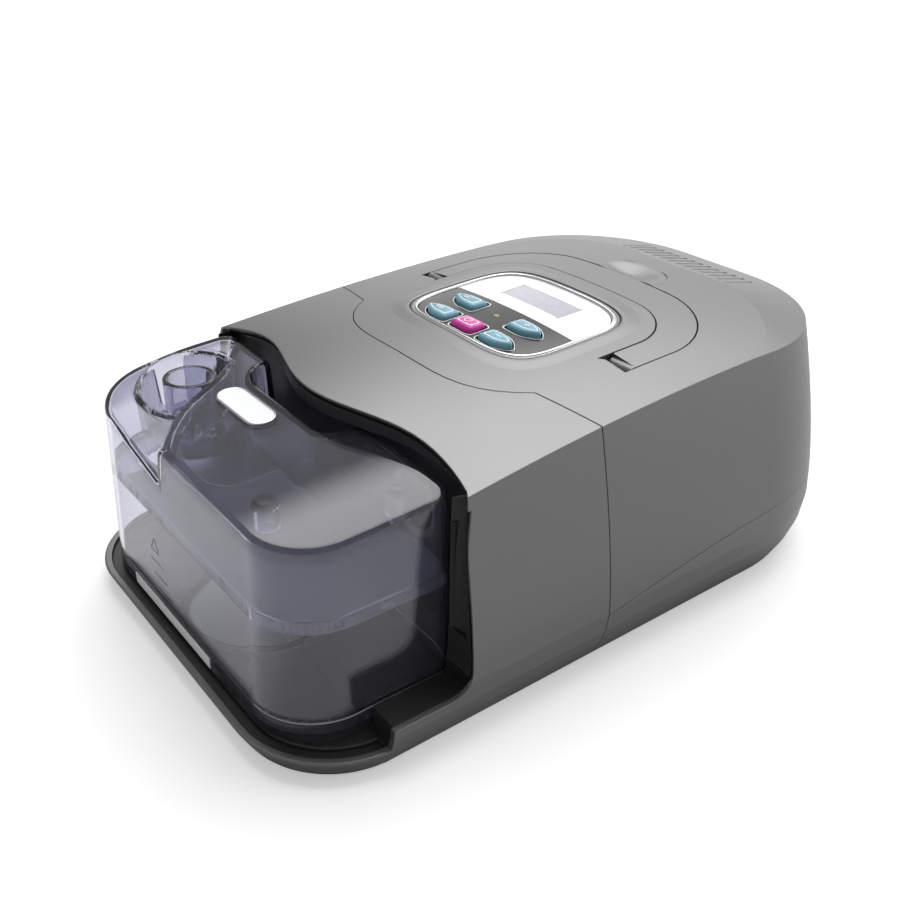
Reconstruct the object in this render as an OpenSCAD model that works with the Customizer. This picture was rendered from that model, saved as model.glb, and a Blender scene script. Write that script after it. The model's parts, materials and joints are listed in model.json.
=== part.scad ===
// Bilevel pap machine with a docked heated humidifier and a lift-out water chamber.
// Millimetres. X is across, Y runs to the rear, Z is up. The origin is on the floor under
// the centre of the whole machine. Most sizes are worked out from the seam between the
// humidifier and the main unit, which is y = 0 inside the modules.

/* [Casing] */
// Half width of the casing at the upper crease
crease_half_w = 86; // [82:0.5:92]
// Height of the crease at the rear
crease_h = 104.5; // [100:0.5:110]
// How far the side walls swell out below the crease
side_bulge = 14.2; // [8:0.2:16]
// Height at which the side walls are widest
bulge_h = 25; // [18:1:34]
// How far the side walls curve back in at the floor
foot_tuck = 7.7; // [4:0.1:10]
// Distance from the seam to the crease at the rear
rear_len = 163.5; // [155:0.5:172]
// Plan radius of the rear corners at the crease
rear_corner_r = 66; // [50:1:72]
// Rise of the roof in the middle above the crease
crown_rise = 7.8; // [4:0.2:10]
// Radius of the long arch that the roof follows from front to rear
roof_arch_r = 1516; // [1300:4:2200]
// Distance behind the seam of the highest point of that arch
roof_peak_y = 115; // [100:1:130]
// Slope of the bevel round the rear of the roof
rear_bevel = 0.21; // [0.16:0.01:0.3]
// Wall of the casing mouldings
wall = 2.5; // [2:0.1:3]
// Height of the casing's underside above the table
ground_gap = 1.2; // [0.8:0.1:2]
// Visible gap between neighbouring mouldings
seam_gap = 0.3; // [0.2:0.05:0.5]
// Length of the rounded tongue of the main unit over the humidifier
tongue_len = 28.5; // [20:0.5:32]
// Half width of the tongue at its root
tongue_half_w = 58; // [52:1:60]
// Height of the parting line at the seam
parting_front_h = 24; // [20:0.5:28]
// Rise of the parting line towards the rear
parting_rise = 12.8; // [8:0.2:15]

/* [Handle] */
// Half width of the carry handle outside
handle_half_w = 66.3; // [62:0.1:68]
// Width of the handle's two legs
handle_leg_w = 12.2; // [10:0.1:13]
// Width of the handle's rear bar
handle_bar_w = 18.6; // [15:0.1:20]
// Distance from the seam to the handle's front ends
handle_front = 34; // [32:0.5:36]
// Distance from the seam to the rear edge of the handle
handle_rear = 96.6; // [94:0.1:99]
// Outer corner radius of the handle
handle_corner_r = 38; // [34:0.5:42]
// Thickness of the handle
handle_t = 7.6; // [6:0.1:8]
// Radius of the round hinge ends of the handle
handle_knuckle_r = 3.7; // [3.2:0.1:3.8]
// Diameter of the handle's hinge pins
handle_pin_d = 3; // [2.4:0.1:3.4]
// Gap between the handle and its channel
handle_gap = 0.6; // [0.5:0.05:0.8]

/* [Control panel] */
// Half width of the panel trim
panel_half_w = 41; // [40:0.5:43]
// Half length of the panel trim
panel_half_l = 34.6; // [34:0.2:36]
// Distance from the seam to the panel's centre
panel_y = 31.7; // [31:0.1:33]
// Width of the bright trim ring
trim_w = 3.2; // [2.4:0.1:3.6]
// Thickness of the two label plates
label_t = 2.7; // [2:0.1:2.7]
// Width of the display window
lcd_w = 36.4; // [30:0.2:38]
// Length of the display window
lcd_l = 13.2; // [10:0.2:14]
// Distance from the seam to the centre of the display
lcd_y = 47.4; // [46:0.2:49]
// Side pitch of the four pointed keys from the middle
key_dx = 19.4; // [19:0.1:20.4]
// Distance from the seam to the front row of keys
key_front_y = 7.4; // [7:0.1:9]
// Distance from the seam to the rear row of keys
key_rear_y = 22.6; // [22:0.1:24]
// Length of a pointed key
key_len = 17.5; // [15:0.1:18]
// Width of a key
key_w = 10.4; // [8.6:0.1:10.8]
// Width of the power key
power_key_w = 14; // [12:0.1:14.6]
// How far the keys stand proud of the label
key_proud = 2.2; // [1.6:0.1:2.6]
// Travel of the keys
key_travel = 0.8; // [0.6:0.05:0.9]
// Gap round a key
key_gap = 0.3; // [0.25:0.05:0.4]

/* [Humidifier] */
// Distance from the seam to the front of the lip
lip_front = 137.5; // [134:0.5:142]
// Plan radius of the lip's front corners
lip_corner_r = 41; // [36:0.5:48]
// Height of the lip round the chamber
lip_h = 9.8; // [9:0.1:10]
// Distance from the seam to the middle of the cover's front edge
cover_edge_mid = 69.7; // [66:0.1:71]
// Distance from the seam to the cover's front edge beside the middle
cover_edge_side = 57; // [55:0.5:59]
// Distance from the seam to the side opening
opening_y = 66.3; // [64:0.1:68]
// Height of the cover's foot beside the chamber
foot_h = 20.2; // [18:0.2:24]
// Distance from the seam to the end of the cover's foot
foot_end = 99.5; // [97:0.5:102]

/* [Water chamber] */
// Half width of the chamber at its base
chamber_half_w = 83.2; // [80:0.1:84]
// Distance from the seam to the chamber's front at its base
chamber_front = 130.8; // [129:0.1:132]
// Distance from the seam to the chamber's rear wall
chamber_rear = 57; // [56:0.1:59]
// Plan radius of the chamber's front corners
chamber_corner_r = 27; // [22:0.5:32]
// Plan radius of the chamber's rear corners
chamber_rear_r = 12; // [9:0.5:14]
// Draft of the chamber's walls, per millimetre of height
chamber_draft = 0.038; // [0.02:0.002:0.05]
// Height of the chamber's underside
chamber_z = 10.4; // [10.4:0.1:11]
// Height of the joint between the chamber's base and its shell
chamber_split_h = 18.8; // [18:0.1:20]
// Height of the deck at the cover
deck_rear_h = 92.6; // [90:0.1:93.4]
// Slope of the deck
deck_slope = 0.05; // [0.03:0.005:0.06]
// Wall of the clear mouldings
clear_wall = 2.2; // [1.8:0.1:2.6]
// Distance of the outlet port from the middle, to the left
port_x = 54.8; // [53:0.1:56]
// Distance from the seam to the outlet port
port_y = 93.4; // [92:0.1:95]
// Outside diameter of the outlet port
port_d = 22; // [21:0.1:22.6]
// Height of the outlet port's rim
port_top = 91.6; // [89:0.1:93]
// Radius of the round well about the port
well_r = 19.7; // [18.5:0.1:20.5]
// Height of the well's floor
well_floor = 72.5; // [70:0.5:75]
// Play between the chamber and its pocket
pocket_gap = 0.8; // [0.6:0.05:1]
// Diameter of the metal plate in the chamber's base
chamber_plate_d = 64; // [56:1:66]
// Diameter of the heater plate under it
heater_d = 61; // [54:1:64]
// Height of the splash tray's upper face
tray_h = 59.6; // [56:0.2:60]
// Height of the floor of the finger gap in the chamber's rear wall
gap_floor = 63; // [62:0.5:68]
// Distance of the finger gap's left end from the middle
gap_left = 48.5; // [46:0.5:50]
// Distance of the finger gap's right end from the middle
gap_right = 21.8; // [20:0.2:24]
// Distance from the seam to the front wall of the finger gap
gap_front = 75.9; // [75:0.1:78]
// Plan radius of the finger gap's left end
gap_left_r = 18.8; // [14:0.2:18.8]
// Plan radius of the finger gap's right end
gap_right_r = 7.6; // [6:0.2:9]

/* [Blower] */
// Radius of the blower's scroll housing
scroll_r = 42; // [40:0.5:44]
// Distance of the blower's axis from the middle
blower_x = 24; // [22:0.5:26]
// Distance from the seam to the blower's axis
blower_y = 78; // [76:0.5:80]
// Height of the middle of the air passage
air_z = 72; // [71.5:0.5:73]
// Outside diameter of the air duct
duct_d = 26; // [24:0.2:27]
// Diameter of the impeller
impeller_d = 66; // [60:0.5:68]
// Number of impeller blades
blade_count = 11; // [7:1:13]
// Diameter of the motor shaft
shaft_d = 4; // [3:0.1:5]

/* [Hidden] */
$fn = 48;
eps = 0.01;
far = 400;
cut_z = 60;
cut_h = 80;

machine_front = lip_front;
lip_edge = crease_half_w + swell(lip_h);
lip_cx = lip_edge - lip_corner_r;
lip_cy = -lip_front + lip_corner_r;
machine_rear = rear_len + side_bulge;
seam_y = (machine_front - machine_rear) / 2;
crown_r = (crease_half_w^2 + crown_rise^2) / (2 * crown_rise);
rear_cx = crease_half_w - rear_corner_r;
rear_cy = rear_len - rear_corner_r;
chamber_cx = chamber_half_w - chamber_corner_r;
chamber_cy = -chamber_front + chamber_corner_r;

body_grey = [0.56, 0.56, 0.56];
smoke = [0.42, 0.42, 0.55, 0.45];

// Places the modules' seam frame in the part's own frame.
module at_seam() translate([0, seam_y, 0]) children();

// Sideways swell of the casing wall at height z.
function swell(z) = z >= bulge_h
    ? side_bulge * (1 - pow((z - bulge_h) / (crease_h - bulge_h), 1.45))
    : side_bulge - foot_tuck * pow((bulge_h - z) / bulge_h, 2);

// Half of the casing's upright section, measured outwards from the crease line.
function wall_profile(inset, inner) = concat(
    [[-inner, ground_gap + inset]],
    [for (z = [ground_gap, 8, 16, 25, 36, 48, 60, 72, 84, 95]) if (z + inset < 100)
        [swell(z) - inset, z == ground_gap ? z + inset : z]],
    [[-inset, crease_h - inset * 0.9], [-inner, crease_h + rear_bevel * inner - inset]]
);

// Height of the roof over the point x, y of the seam frame.
function roof_z(x, y) = crease_h + 0.3 - (y - roof_peak_y)^2 / (2 * roof_arch_r)
    + crown_rise * (1 - (x / crease_half_w)^2);

// Everything below the arched and crowned roof, lowered by inset.
module under_roof(inset) {
    roof_axis_z = crease_h + 0.3 - roof_arch_r;
    translate([0, roof_peak_y, roof_axis_z]) rotate([0, -90, 0]) rotate([0, 0, -12])
        rotate_extrude(angle = 24, $fn = 720) intersection() {
            translate([roof_arch_r + crown_rise - crown_r - inset, 0])
                circle(crown_r, $fn = 360);
            translate([roof_arch_r - 125, -120]) square([200, 240]);
        }
}

// The casing's section swept straight to the rear and round the two rear corners.
module swept_walls(inset) {
    half = wall_profile(inset, rear_corner_r);
    full = wall_profile(inset, crease_half_w);
    front = -160;
    translate([0, rear_cy, 0]) rotate([90, 0, 0]) linear_extrude(rear_cy - front)
        for (side = [0, 1]) mirror([side, 0]) translate([crease_half_w, 0]) polygon(full);
    translate([-rear_cx, rear_len, 0]) rotate([90, 0, 90]) linear_extrude(2 * rear_cx)
        polygon(half);
    for (side = [0, 1]) mirror([side, 0, 0]) translate([rear_cx, rear_cy, 0])
        rotate_extrude(angle = 90, $fn = 96) translate([rear_corner_r, 0]) polygon(half);
}

// Solid form of the whole casing, drawn in on every side by inset.
module casing_form(inset) intersection() {
    swept_walls(inset);
    under_roof(inset);
}

// Plan line of the joint between the main unit and the humidifier cover.
function seam_line(x) = abs(x) <= tongue_half_w
    ? -tongue_len * (1 - pow(abs(x) / (tongue_half_w + 4), 4))
    : -tongue_len * (1 - pow(tongue_half_w / (tongue_half_w + 4), 4))
        * max(0, (crease_half_w - abs(x)) / (crease_half_w - tongue_half_w));

tongue_xs = [-120, -crease_half_w, for (i = [-12:12]) i * tongue_half_w / 12,
    crease_half_w, 120];
tongue_root_h = 90;

// Space behind the joint, moved to the rear by gap.
module behind_seam(gap) {
    translate([0, 0, tongue_root_h]) linear_extrude(60)
        polygon(concat([for (x = tongue_xs) [x, seam_line(x) + gap]],
            [[120, 300], [-120, 300]]));
    translate([-120, gap, -1]) cube([240, 300, tongue_root_h + 1 + eps]);
}

// Height of the parting line between top and bottom cover at y.
function parting(y) = parting_front_h
    + parting_rise * sin(90 * min(1, max(0, y) / 130));

// Space above the parting line, moved up by gap.
module above_parting(gap) rotate([90, 0, 90]) linear_extrude(2 * far, center = true)
    polygon(concat([for (y = [-40, 0, 13, 26, 39, 52, 65, 78, 91, 104, 117, 130, 240])
        [y, parting(y) + gap]], [[240, 200], [-40, 200]]));

// Prism over a plan shape, tall enough to pass through the roof.
module through_roof() translate([0, 0, cut_z]) linear_extrude(cut_h) children();

// Superellipse outline, rounder at low powers and squarer at high ones.
module squircle(half_x, half_y, power) polygon([for (a = [0:7.5:352.5])
    [half_x * sign(cos(a)) * pow(abs(cos(a)), 2 / power),
     half_y * sign(sin(a)) * pow(abs(sin(a)), 2 / power)]]);

// Outline of the lying handle, grown by grow all round.
module handle_plan(grow) {
    inner_r = handle_corner_r - handle_leg_w;
    difference() {
        union() {
            translate([-handle_half_w - grow, handle_front - grow])
                square([2 * (handle_half_w + grow),
                    handle_rear - handle_front - handle_corner_r + grow]);
            translate([-handle_half_w + handle_corner_r, handle_rear - handle_corner_r - eps])
                square([2 * (handle_half_w - handle_corner_r), handle_corner_r + grow + eps]);
            for (s = [-1, 1]) translate([s * (handle_half_w - handle_corner_r),
                handle_rear - handle_corner_r]) circle(handle_corner_r + grow, $fn = 96);
        }
        translate([-handle_half_w + handle_leg_w + grow, 0])
            square([2 * (handle_half_w - handle_leg_w - grow),
                handle_rear - handle_bar_w - inner_r]);
        translate([-handle_half_w + handle_leg_w + inner_r,
            handle_rear - handle_bar_w - inner_r - 1])
            square([2 * (handle_half_w - handle_leg_w - inner_r), inner_r - grow + 1]);
        for (s = [-1, 1]) translate([s * (handle_half_w - handle_leg_w - inner_r),
            handle_rear - handle_bar_w - inner_r]) circle(inner_r - grow, $fn = 72);
    }
}

// Layer of the roof between two depths, over a plan shape.
module roof_layer(top, bottom) difference() {
    intersection() {
        under_roof(top);
        through_roof() children();
    }
    under_roof(bottom);
}

hinge_notch = 2.4;
handle_axis_y = handle_front + handle_knuckle_r;
handle_axis_z = roof_z(handle_half_w, handle_axis_y) - handle_knuckle_r;
knuckle_l = handle_leg_w;
pin_l = knuckle_l + 2 * handle_gap + 3;

// Hollow round which a fingertip reaches under the handle's rear bar.
module finger_scoop(grow) {
    reach_y = handle_rear + 6.5;
    scoop_r = 14;
    translate([0, reach_y, roof_z(0, reach_y) + scoop_r - 5]) {
        rotate([0, 90, 0]) cylinder(r = scoop_r + grow, h = 16, center = true);
        for (s = [-1, 1]) translate([s * 8, 0, 0]) sphere(scoop_r + grow);
    }
}

// Outline of the control panel, drawn in by shrink.
module panel_plan(shrink) translate([0, panel_y])
    squircle(panel_half_w - shrink, panel_half_l - shrink, 4.2);

// Key outline that points outwards along +X.
module pointed_key(grow) {
    w = key_w / 2 + grow;
    back = -key_len / 2 - grow;
    tip = key_len / 2 + grow;
    polygon([[back + 1.5, -w], [tip - 8, -w], [tip - 5, -w * 0.86], [tip - 2.4, -w * 0.6],
        [tip - 0.6, -w * 0.28], [tip, 0], [tip - 0.6, w * 0.28], [tip - 2.4, w * 0.6],
        [tip - 5, w * 0.86], [tip - 8, w], [back + 1.5, w], [back, w - 1.5],
        [back, -w + 1.5]]);
}

module power_key_plan(grow) {
    hx = power_key_w / 2 + grow;
    hy = key_w / 2 + grow;
    polygon([[-hx + 2, -hy], [hx - 2, -hy], [hx, -hy + 2], [hx, hy - 2],
        [hx - 2, hy], [-hx + 2, hy], [-hx, hy - 2], [-hx, -hy + 2]]);
}

key_places = [[-key_dx, key_front_y, 180], [-key_dx, key_rear_y, 180],
    [key_dx, key_rear_y, 0], [key_dx, key_front_y, 0]];
led_d = 3;

// All the key openings of the front label.
module key_openings(grow) {
    for (p = key_places) translate([p[0], p[1]]) rotate(p[2]) pointed_key(grow);
    translate([0, key_front_y]) power_key_plan(grow);
    translate([0, key_rear_y]) circle(d = led_d + 2 * grow);
}

board_z = roof_z(40, 0) - 12;
board_t = 1.6;
membrane_t = 1.5;
panel_floor = 3.4;
label_top = 0.6;
window_t = label_t + 1;
lcd_module_h = roof_z(lcd_w / 2, lcd_y - lcd_l / 2) - label_top - window_t - board_z
    - board_t - 0.3;

module lcd_plan(grow) translate([0, lcd_y])
    square([lcd_w + 2 * grow, lcd_l + 2 * grow], center = true);

rib_pitch = 5;
rib_count = 14;

module rear_ribs() for (i = [0:rib_count - 1]) {
    x = (i - (rib_count - 1) / 2) * rib_pitch;
    translate([x, rear_len - 23, crease_h + rear_bevel * 23 + 0.6])
        rotate([-atan(rear_bevel), 0, 0]) rotate([90, 0, 0])
        cylinder(d = 2.8, h = 20, center = true, $fn = 24);
}

screw_d = 3;
screw_grip = 9;
screw_head_d = 6;
screw_head_h = 1.9;
screw_seat_z = ground_gap + 3;
board_bosses = [[-34, 4], [34, 4], [-34, 60], [34, 60]];
case_boss_d = 9;
case_screw_x = crease_half_w - 16;
case_screw_places = [[-case_screw_x, 20], [case_screw_x, 20], [4 - case_screw_x, 118],
    [case_screw_x - 4, 118]];

module top_cover() color(body_grey) at_seam() {
    difference() {
        union() {
            difference() {
                intersection() {
                    casing_form(0);
                    behind_seam(seam_gap);
                    above_parting(seam_gap / 2);
                }
                intersection() {
                    casing_form(wall);
                    translate([-far / 2, wall + seam_gap, -1]) cube([far, far, far]);
                }
                intersection() {
                    under_roof(wall);
                    union() {
                        translate([-far / 2, -60, 0]) cube([far, 60 + eps, far]);
                        translate([-tongue_half_w + 2, -60, tongue_root_h])
                            cube([2 * tongue_half_w - 4, 64 + wall, far]);
                    }
                }
            }
            intersection() {
                roof_layer(wall - 0.2, handle_t + 3) handle_plan(handle_gap + 2);
                swept_walls(wall);
            }
            intersection() {
                finger_scoop(2);
                under_roof(1);
            }
            for (p = board_bosses) translate([p[0], p[1], board_z + board_t])
                cylinder(d = 6, h = roof_z(p[0], p[1]) - board_z - board_t - 1);
            roof_layer(wall - 0.2, panel_floor + 1.4) panel_plan(-2);
            intersection() {
                for (p = case_screw_places) translate([p[0], p[1], parting(p[1]) - 1.6])
                    cylinder(d = case_boss_d, h = cut_h);
                casing_form(1);
            }
        }
        for (p = case_screw_places) translate([p[0], p[1], 0])
            cylinder(d = screw_d, h = parting(p[1]) + screw_grip);
        difference() {
            through_roof() {
                handle_plan(handle_gap);
                handle_hinge_notch();
            }
            under_roof(handle_t + 0.9);
        }
        handle_bore();
        at_hinge_ends() cylinder(r = handle_knuckle_r + handle_gap,
            h = knuckle_l + 2 * handle_gap, center = true);
        intersection() {
            finger_scoop(0);
            translate([-40, handle_rear - 6, 90]) cube([80, 60, 50]);
        }
        difference() {
            through_roof() panel_plan(-seam_gap / 2);
            under_roof(panel_floor);
        }
        through_roof() {
            key_openings(2.2);
            lcd_plan(1);
        }
        rear_ribs();
        translate([duct_x, -eps, air_z]) rotate([-90, 0, 0]) cylinder(d = duct_d + 0.4, h = 6);
    }
}

duct_x = blower_x + scroll_r - duct_d / 2 - 1;

// Places a shape at each hinge end of the handle, with its axis across the machine.
module at_hinge_ends() for (s = [-1, 1])
    translate([s * (handle_half_w - handle_leg_w / 2), handle_axis_y, handle_axis_z])
        rotate([0, 90, 0]) children();

// Bores for the handle's hinge pins in the side walls of its channel.
module handle_bore() at_hinge_ends() cylinder(d = handle_pin_d, h = pin_l, center = true);

// Room in front of the handle's hinge ends for the legs to stand up in.
module handle_hinge_notch() for (s = [-1, 1])
    translate([s * (handle_half_w - handle_leg_w / 2), handle_front])
        square([handle_leg_w + 2 * handle_gap, 2 * hinge_notch], center = true);

module carry_handle() color([0.6, 0.6, 0.61]) at_seam() difference() {
    union() {
        difference() {
            roof_layer(0.1, handle_t) handle_plan(0);
            translate([-far / 2, handle_front - 5, cut_z])
                cube([far, 5 + handle_knuckle_r, cut_h]);
        }
        at_hinge_ends() cylinder(r = handle_knuckle_r, h = knuckle_l, center = true);
    }
    at_hinge_ends() cylinder(d = handle_pin_d + 0.1, h = knuckle_l + 2, center = true);
}

module handle_pins() color("silver") at_seam() at_hinge_ends()
    cylinder(d = handle_pin_d, h = pin_l, center = true);

module panel_bezel() color([0.85, 0.86, 0.88]) at_seam()
    roof_layer(-0.5, panel_floor) difference() {
        panel_plan(seam_gap / 2);
        panel_plan(trim_w);
    }

module label_half(front) roof_layer(label_top, label_top + label_t) difference() {
    intersection() {
        panel_plan(trim_w + 0.1);
        translate([-60, front ? panel_y - 60.05 : panel_y + 0.05]) square([120, 60]);
    }
    key_openings(key_gap);
    lcd_plan(0.1);
}

module label_dark() color([0.24, 0.24, 0.25]) at_seam() label_half(true);

module label_light() color([0.95, 0.95, 0.95]) at_seam() label_half(false);

module lcd_window() color([0.78, 0.78, 0.83, 0.8]) at_seam()
    roof_layer(label_top, label_top + window_t) lcd_plan(0);

module lcd_module() color([0.7, 0.72, 0.75]) at_seam() translate([0, lcd_y, board_z + board_t]) {
    translate([-24, -9, 0]) cube([48, 18, lcd_module_h - 1.8]);
    translate([-lcd_w / 2, -lcd_l / 2, 0]) cube([lcd_w, lcd_l, lcd_module_h]);
}

key_flange_t = 0.9;
key_flange_w = 1;
key_edge = 0.8;

module key_plan(pointed, grow) if (pointed) pointed_key(grow); else power_key_plan(grow);

// A key: its cap stands through the label and its flange stays under it.
module key_body(x, y, turn, pointed, foot_z) {
    cap_h = roof_z(x, y) + key_proud - foot_z;
    translate([x, y, foot_z]) rotate(turn) {
        linear_extrude(key_flange_t) key_plan(pointed, key_flange_w);
        linear_extrude(cap_h - key_edge) key_plan(pointed, 0);
        linear_extrude(cap_h) key_plan(pointed, -key_edge);
    }
}

// Height of a key's flange, just under the lowest edge of the label above it.
function flange_z(x, y) = roof_z(abs(x) + key_len / 2 + 1, y - key_w / 2 - 1)
    - label_top - label_t - key_flange_t - 0.1;

module key_at(i) at_seam() key_body(key_places[i][0], key_places[i][1], key_places[i][2],
    true, flange_z(key_dx, key_places[i][1]));

module key_front_left() color([0.42, 0.6, 0.68]) key_at(0);

module key_rear_left() color([0.42, 0.6, 0.68]) key_at(1);

module key_plus() color([0.42, 0.6, 0.68]) key_at(2);

module key_minus() color([0.42, 0.6, 0.68]) key_at(3);

module power_key() color([0.78, 0.2, 0.56]) at_seam()
    key_body(0, key_front_y, 0, false, flange_z(0, key_front_y));

// Rubber dome under a key, clear of the key's flange by its travel.
module dome(x, y, z) translate([x, y, board_z + board_t]) difference() {
    cylinder(d = 7, h = z - key_travel - 0.3 - board_z - board_t);
    translate([0, 0, -eps]) cylinder(d = 4.4, h = membrane_t);
}

module keypad_membrane() color([0.75, 0.75, 0.72]) at_seam() {
    translate([-28, 0.5, board_z + board_t]) difference() {
        cube([56, 30, membrane_t]);
        for (p = concat([for (k = key_places) [k[0], k[1]]], [[0, key_front_y],
            [0, key_rear_y]])) translate([p[0] + 28, p[1] - 0.5, -1]) cylinder(d = 6.8, h = 4);
    }
    for (p = key_places) dome(p[0], p[1], flange_z(key_dx, p[1]));
    dome(0, key_front_y, flange_z(0, key_front_y));
}

module status_led() color([0.5, 0.8, 0.5]) at_seam()
    translate([0, key_rear_y, board_z + board_t])
    cylinder(d = led_d, h = roof_z(0, key_rear_y) - label_top - board_z - board_t);

module keypad_board() color([0.1, 0.35, 0.2]) at_seam()
    translate([-37, -1, board_z]) cube([74, 66, board_t]);

module buzzer() color([0.1, 0.1, 0.1]) at_seam() translate([24, 44, board_z - 6]) difference() {
    cylinder(d = 12, h = 6);
    translate([0, 0, -eps]) cylinder(d = 2, h = 2);
}

main_board_z = 56;
board_left = 7 - crease_half_w;
board_right = blower_x - scroll_r - 7;
main_posts = [[board_left + 5, 32], [board_right - 5, 16], [board_left + 5, 96],
    [board_right - 5, 96]];

module main_board() color([0.08, 0.3, 0.18]) at_seam() {
    difference() {
        translate([board_left, 11, main_board_z])
            cube([board_right - board_left, 90, board_t]);
        for (p = main_posts) translate([p[0], p[1], main_board_z - 1]) cylinder(d = 2.2, h = 4);
        for (p = case_screw_places) translate([p[0], p[1], main_board_z - 1])
            cylinder(d = case_boss_d + 2, h = 4);
    }
    translate([board_left + 17, 34, main_board_z + board_t]) cube([16, 16, 1.6]);
    translate([board_left + 13, 62, main_board_z + board_t]) cube([12, 8, 1.8]);
    translate([board_right - 23, 60, main_board_z + board_t]) cube([10, 22, 9]);
    for (i = [0:3]) translate([board_right - 11, 28 + 9 * i, main_board_z + board_t])
        cylinder(d = 6, h = 9);
}

mount_r = scroll_r + 5;
housing_z = air_z - 26;
housing_split = air_z - 6;
housing_top = air_z + 14;
mount_h = 6;

function mount_at(i) = [blower_x + mount_r * cos(45 + 90 * i),
    blower_y + mount_r * sin(45 + 90 * i)];

module scroll_plan(grow) {
    circle(scroll_r + grow, $fn = 96);
    translate([duct_x - blower_x - duct_d / 2 - grow, -scroll_r - 6 - grow])
        square([duct_d + 2 * grow, scroll_r + 6 + grow]);
}

module blower_housing_lower() color([0.75, 0.75, 0.72]) at_seam()
    translate([blower_x, blower_y, 0]) difference() {
        union() {
            translate([0, 0, housing_z]) linear_extrude(housing_split - housing_z)
                scroll_plan(0);
            for (i = [0:3]) translate([mount_r * cos(45 + 90 * i), mount_r * sin(45 + 90 * i),
                housing_z]) cylinder(d = 11, h = 3);
        }
        translate([0, 0, air_z - duct_d / 2 + 2]) linear_extrude(40) scroll_plan(-2);
        translate([0, 0, housing_z + 2]) cylinder(d = motor_d + 0.4, h = 40);
        translate([duct_x - blower_x, -scroll_r, air_z]) rotate([90, 0, 0])
            cylinder(d = duct_d - 2, h = 20);
        for (i = [0:3]) translate([mount_r * cos(45 + 90 * i), mount_r * sin(45 + 90 * i),
            housing_z - 1]) cylinder(d = 4, h = 5);
    }

inlet_d = 34;

module blower_housing_upper() color([0.8, 0.8, 0.77]) at_seam()
    translate([blower_x, blower_y, 0]) difference() {
        translate([0, 0, housing_split]) linear_extrude(housing_top - housing_split)
            scroll_plan(0);
        translate([0, 0, housing_split - 1]) linear_extrude(air_z + duct_d / 2 - 2
            - housing_split + 1) scroll_plan(-2);
        cylinder(d = inlet_d, h = 100);
        translate([duct_x - blower_x, -scroll_r, air_z]) rotate([90, 0, 0])
            cylinder(d = duct_d - 2, h = 20);
    }

motor_d = 34;
motor_top = air_z - duct_d / 2 + 3;
bearing_d = 10;
bearing_h = 4;

module motor_stator() color([0.5, 0.5, 0.52]) at_seam()
    translate([blower_x, blower_y, housing_z + 2]) difference() {
        cylinder(d = motor_d, h = motor_top - housing_z - 2);
        for (z = [-1, motor_top - housing_z - 2 - bearing_h])
            translate([0, 0, z]) cylinder(d = bearing_d, h = bearing_h + 1 + eps);
        cylinder(d = shaft_d + 2, h = 30);
    }

module motor_bearings() color("silver") at_seam()
    for (z = [housing_z + 2, motor_top - bearing_h])
        translate([blower_x, blower_y, z]) difference() {
            cylinder(d = bearing_d, h = bearing_h);
            translate([0, 0, -1]) cylinder(d = shaft_d + 0.08, h = bearing_h + 2);
        }

shaft_top = motor_top + 14;

module motor_shaft() color("silver") at_seam()
    translate([blower_x, blower_y, housing_z + 2.4]) cylinder(d = shaft_d,
        h = shaft_top - housing_z - 2.4);

impeller_z = motor_top + 1.5;

// Backward-leaning blades between a back plate and a hub.
module impeller() color([0.9, 0.9, 0.86]) at_seam() translate([blower_x, blower_y, impeller_z])
    difference() {
        union() {
            cylinder(d = impeller_d, h = 1.4, $fn = 72);
            cylinder(d = 13, h = 10.5);
            for (i = [0:blade_count - 1]) rotate(i * 360 / blade_count)
                translate([0, 0, 1]) linear_extrude(8) intersection() {
                    translate([impeller_d * 0.23, -impeller_d * 0.16]) difference() {
                        circle(impeller_d * 0.25, $fn = 60);
                        circle(impeller_d * 0.25 - 1.2, $fn = 60);
                    }
                    difference() {
                        circle(d = impeller_d - 0.4, $fn = 72);
                        circle(d = 24);
                        translate([-impeller_d, -impeller_d / 2 - 2.4]) square([2 * impeller_d,
                            impeller_d / 2 + 2.4 - impeller_d * 0.1]);
                    }
                }
        }
        translate([0, 0, -1]) cylinder(d = shaft_d, h = 20);
    }

module blower_mounts() color([0.15, 0.15, 0.15]) at_seam() for (i = [0:3])
    translate([mount_at(i)[0], mount_at(i)[1], housing_z - mount_h]) {
        cylinder(d = 10, h = mount_h);
        cylinder(d = 3.8, h = mount_h + 3);
    }

module outlet_duct() color([0.35, 0.35, 0.36]) at_seam() difference() {
    translate([duct_x, 0, air_z]) rotate([-90, 0, 0])
        cylinder(d = duct_d, h = blower_y - scroll_r - 6);
    translate([duct_x, -1, air_z]) rotate([-90, 0, 0]) cylinder(d = duct_d - 5, h = 80);
}

module pressure_sensor() color([0.2, 0.2, 0.22]) at_seam()
    translate([duct_x, 14, air_z]) difference() {
        translate([-7, -6, 0]) cube([14, 12, duct_d / 2 + 9]);
        rotate([-90, 0, 0]) cylinder(d = duct_d, h = 40, center = true);
        translate([-8, -7, -1]) cube([16, 14, duct_d / 2 * 0.84]);
    }

supply_x = 16 - crease_half_w;
supply_y = 27;

module power_supply() color([0.15, 0.4, 0.25]) at_seam()
    translate([supply_x, supply_y, ground_gap + wall]) {
        translate([0, 0, 4]) cube([36, 68, board_t]);
        for (x = [2, 34], y = [2, 66]) translate([x, y, 0]) cylinder(d = 4, h = 4 + eps);
        translate([4, 8, 4 + board_t]) cube([26, 24, 22]);
        translate([26, 38, 4 + board_t]) cube([3, 26, 26]);
        for (i = [0:1]) translate([11, 42 + 14 * i, 4 + board_t]) cylinder(d = 11, h = 20);
    }

inlet_w = 28;
inlet_h = 20;
inlet_z = 12;

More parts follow.
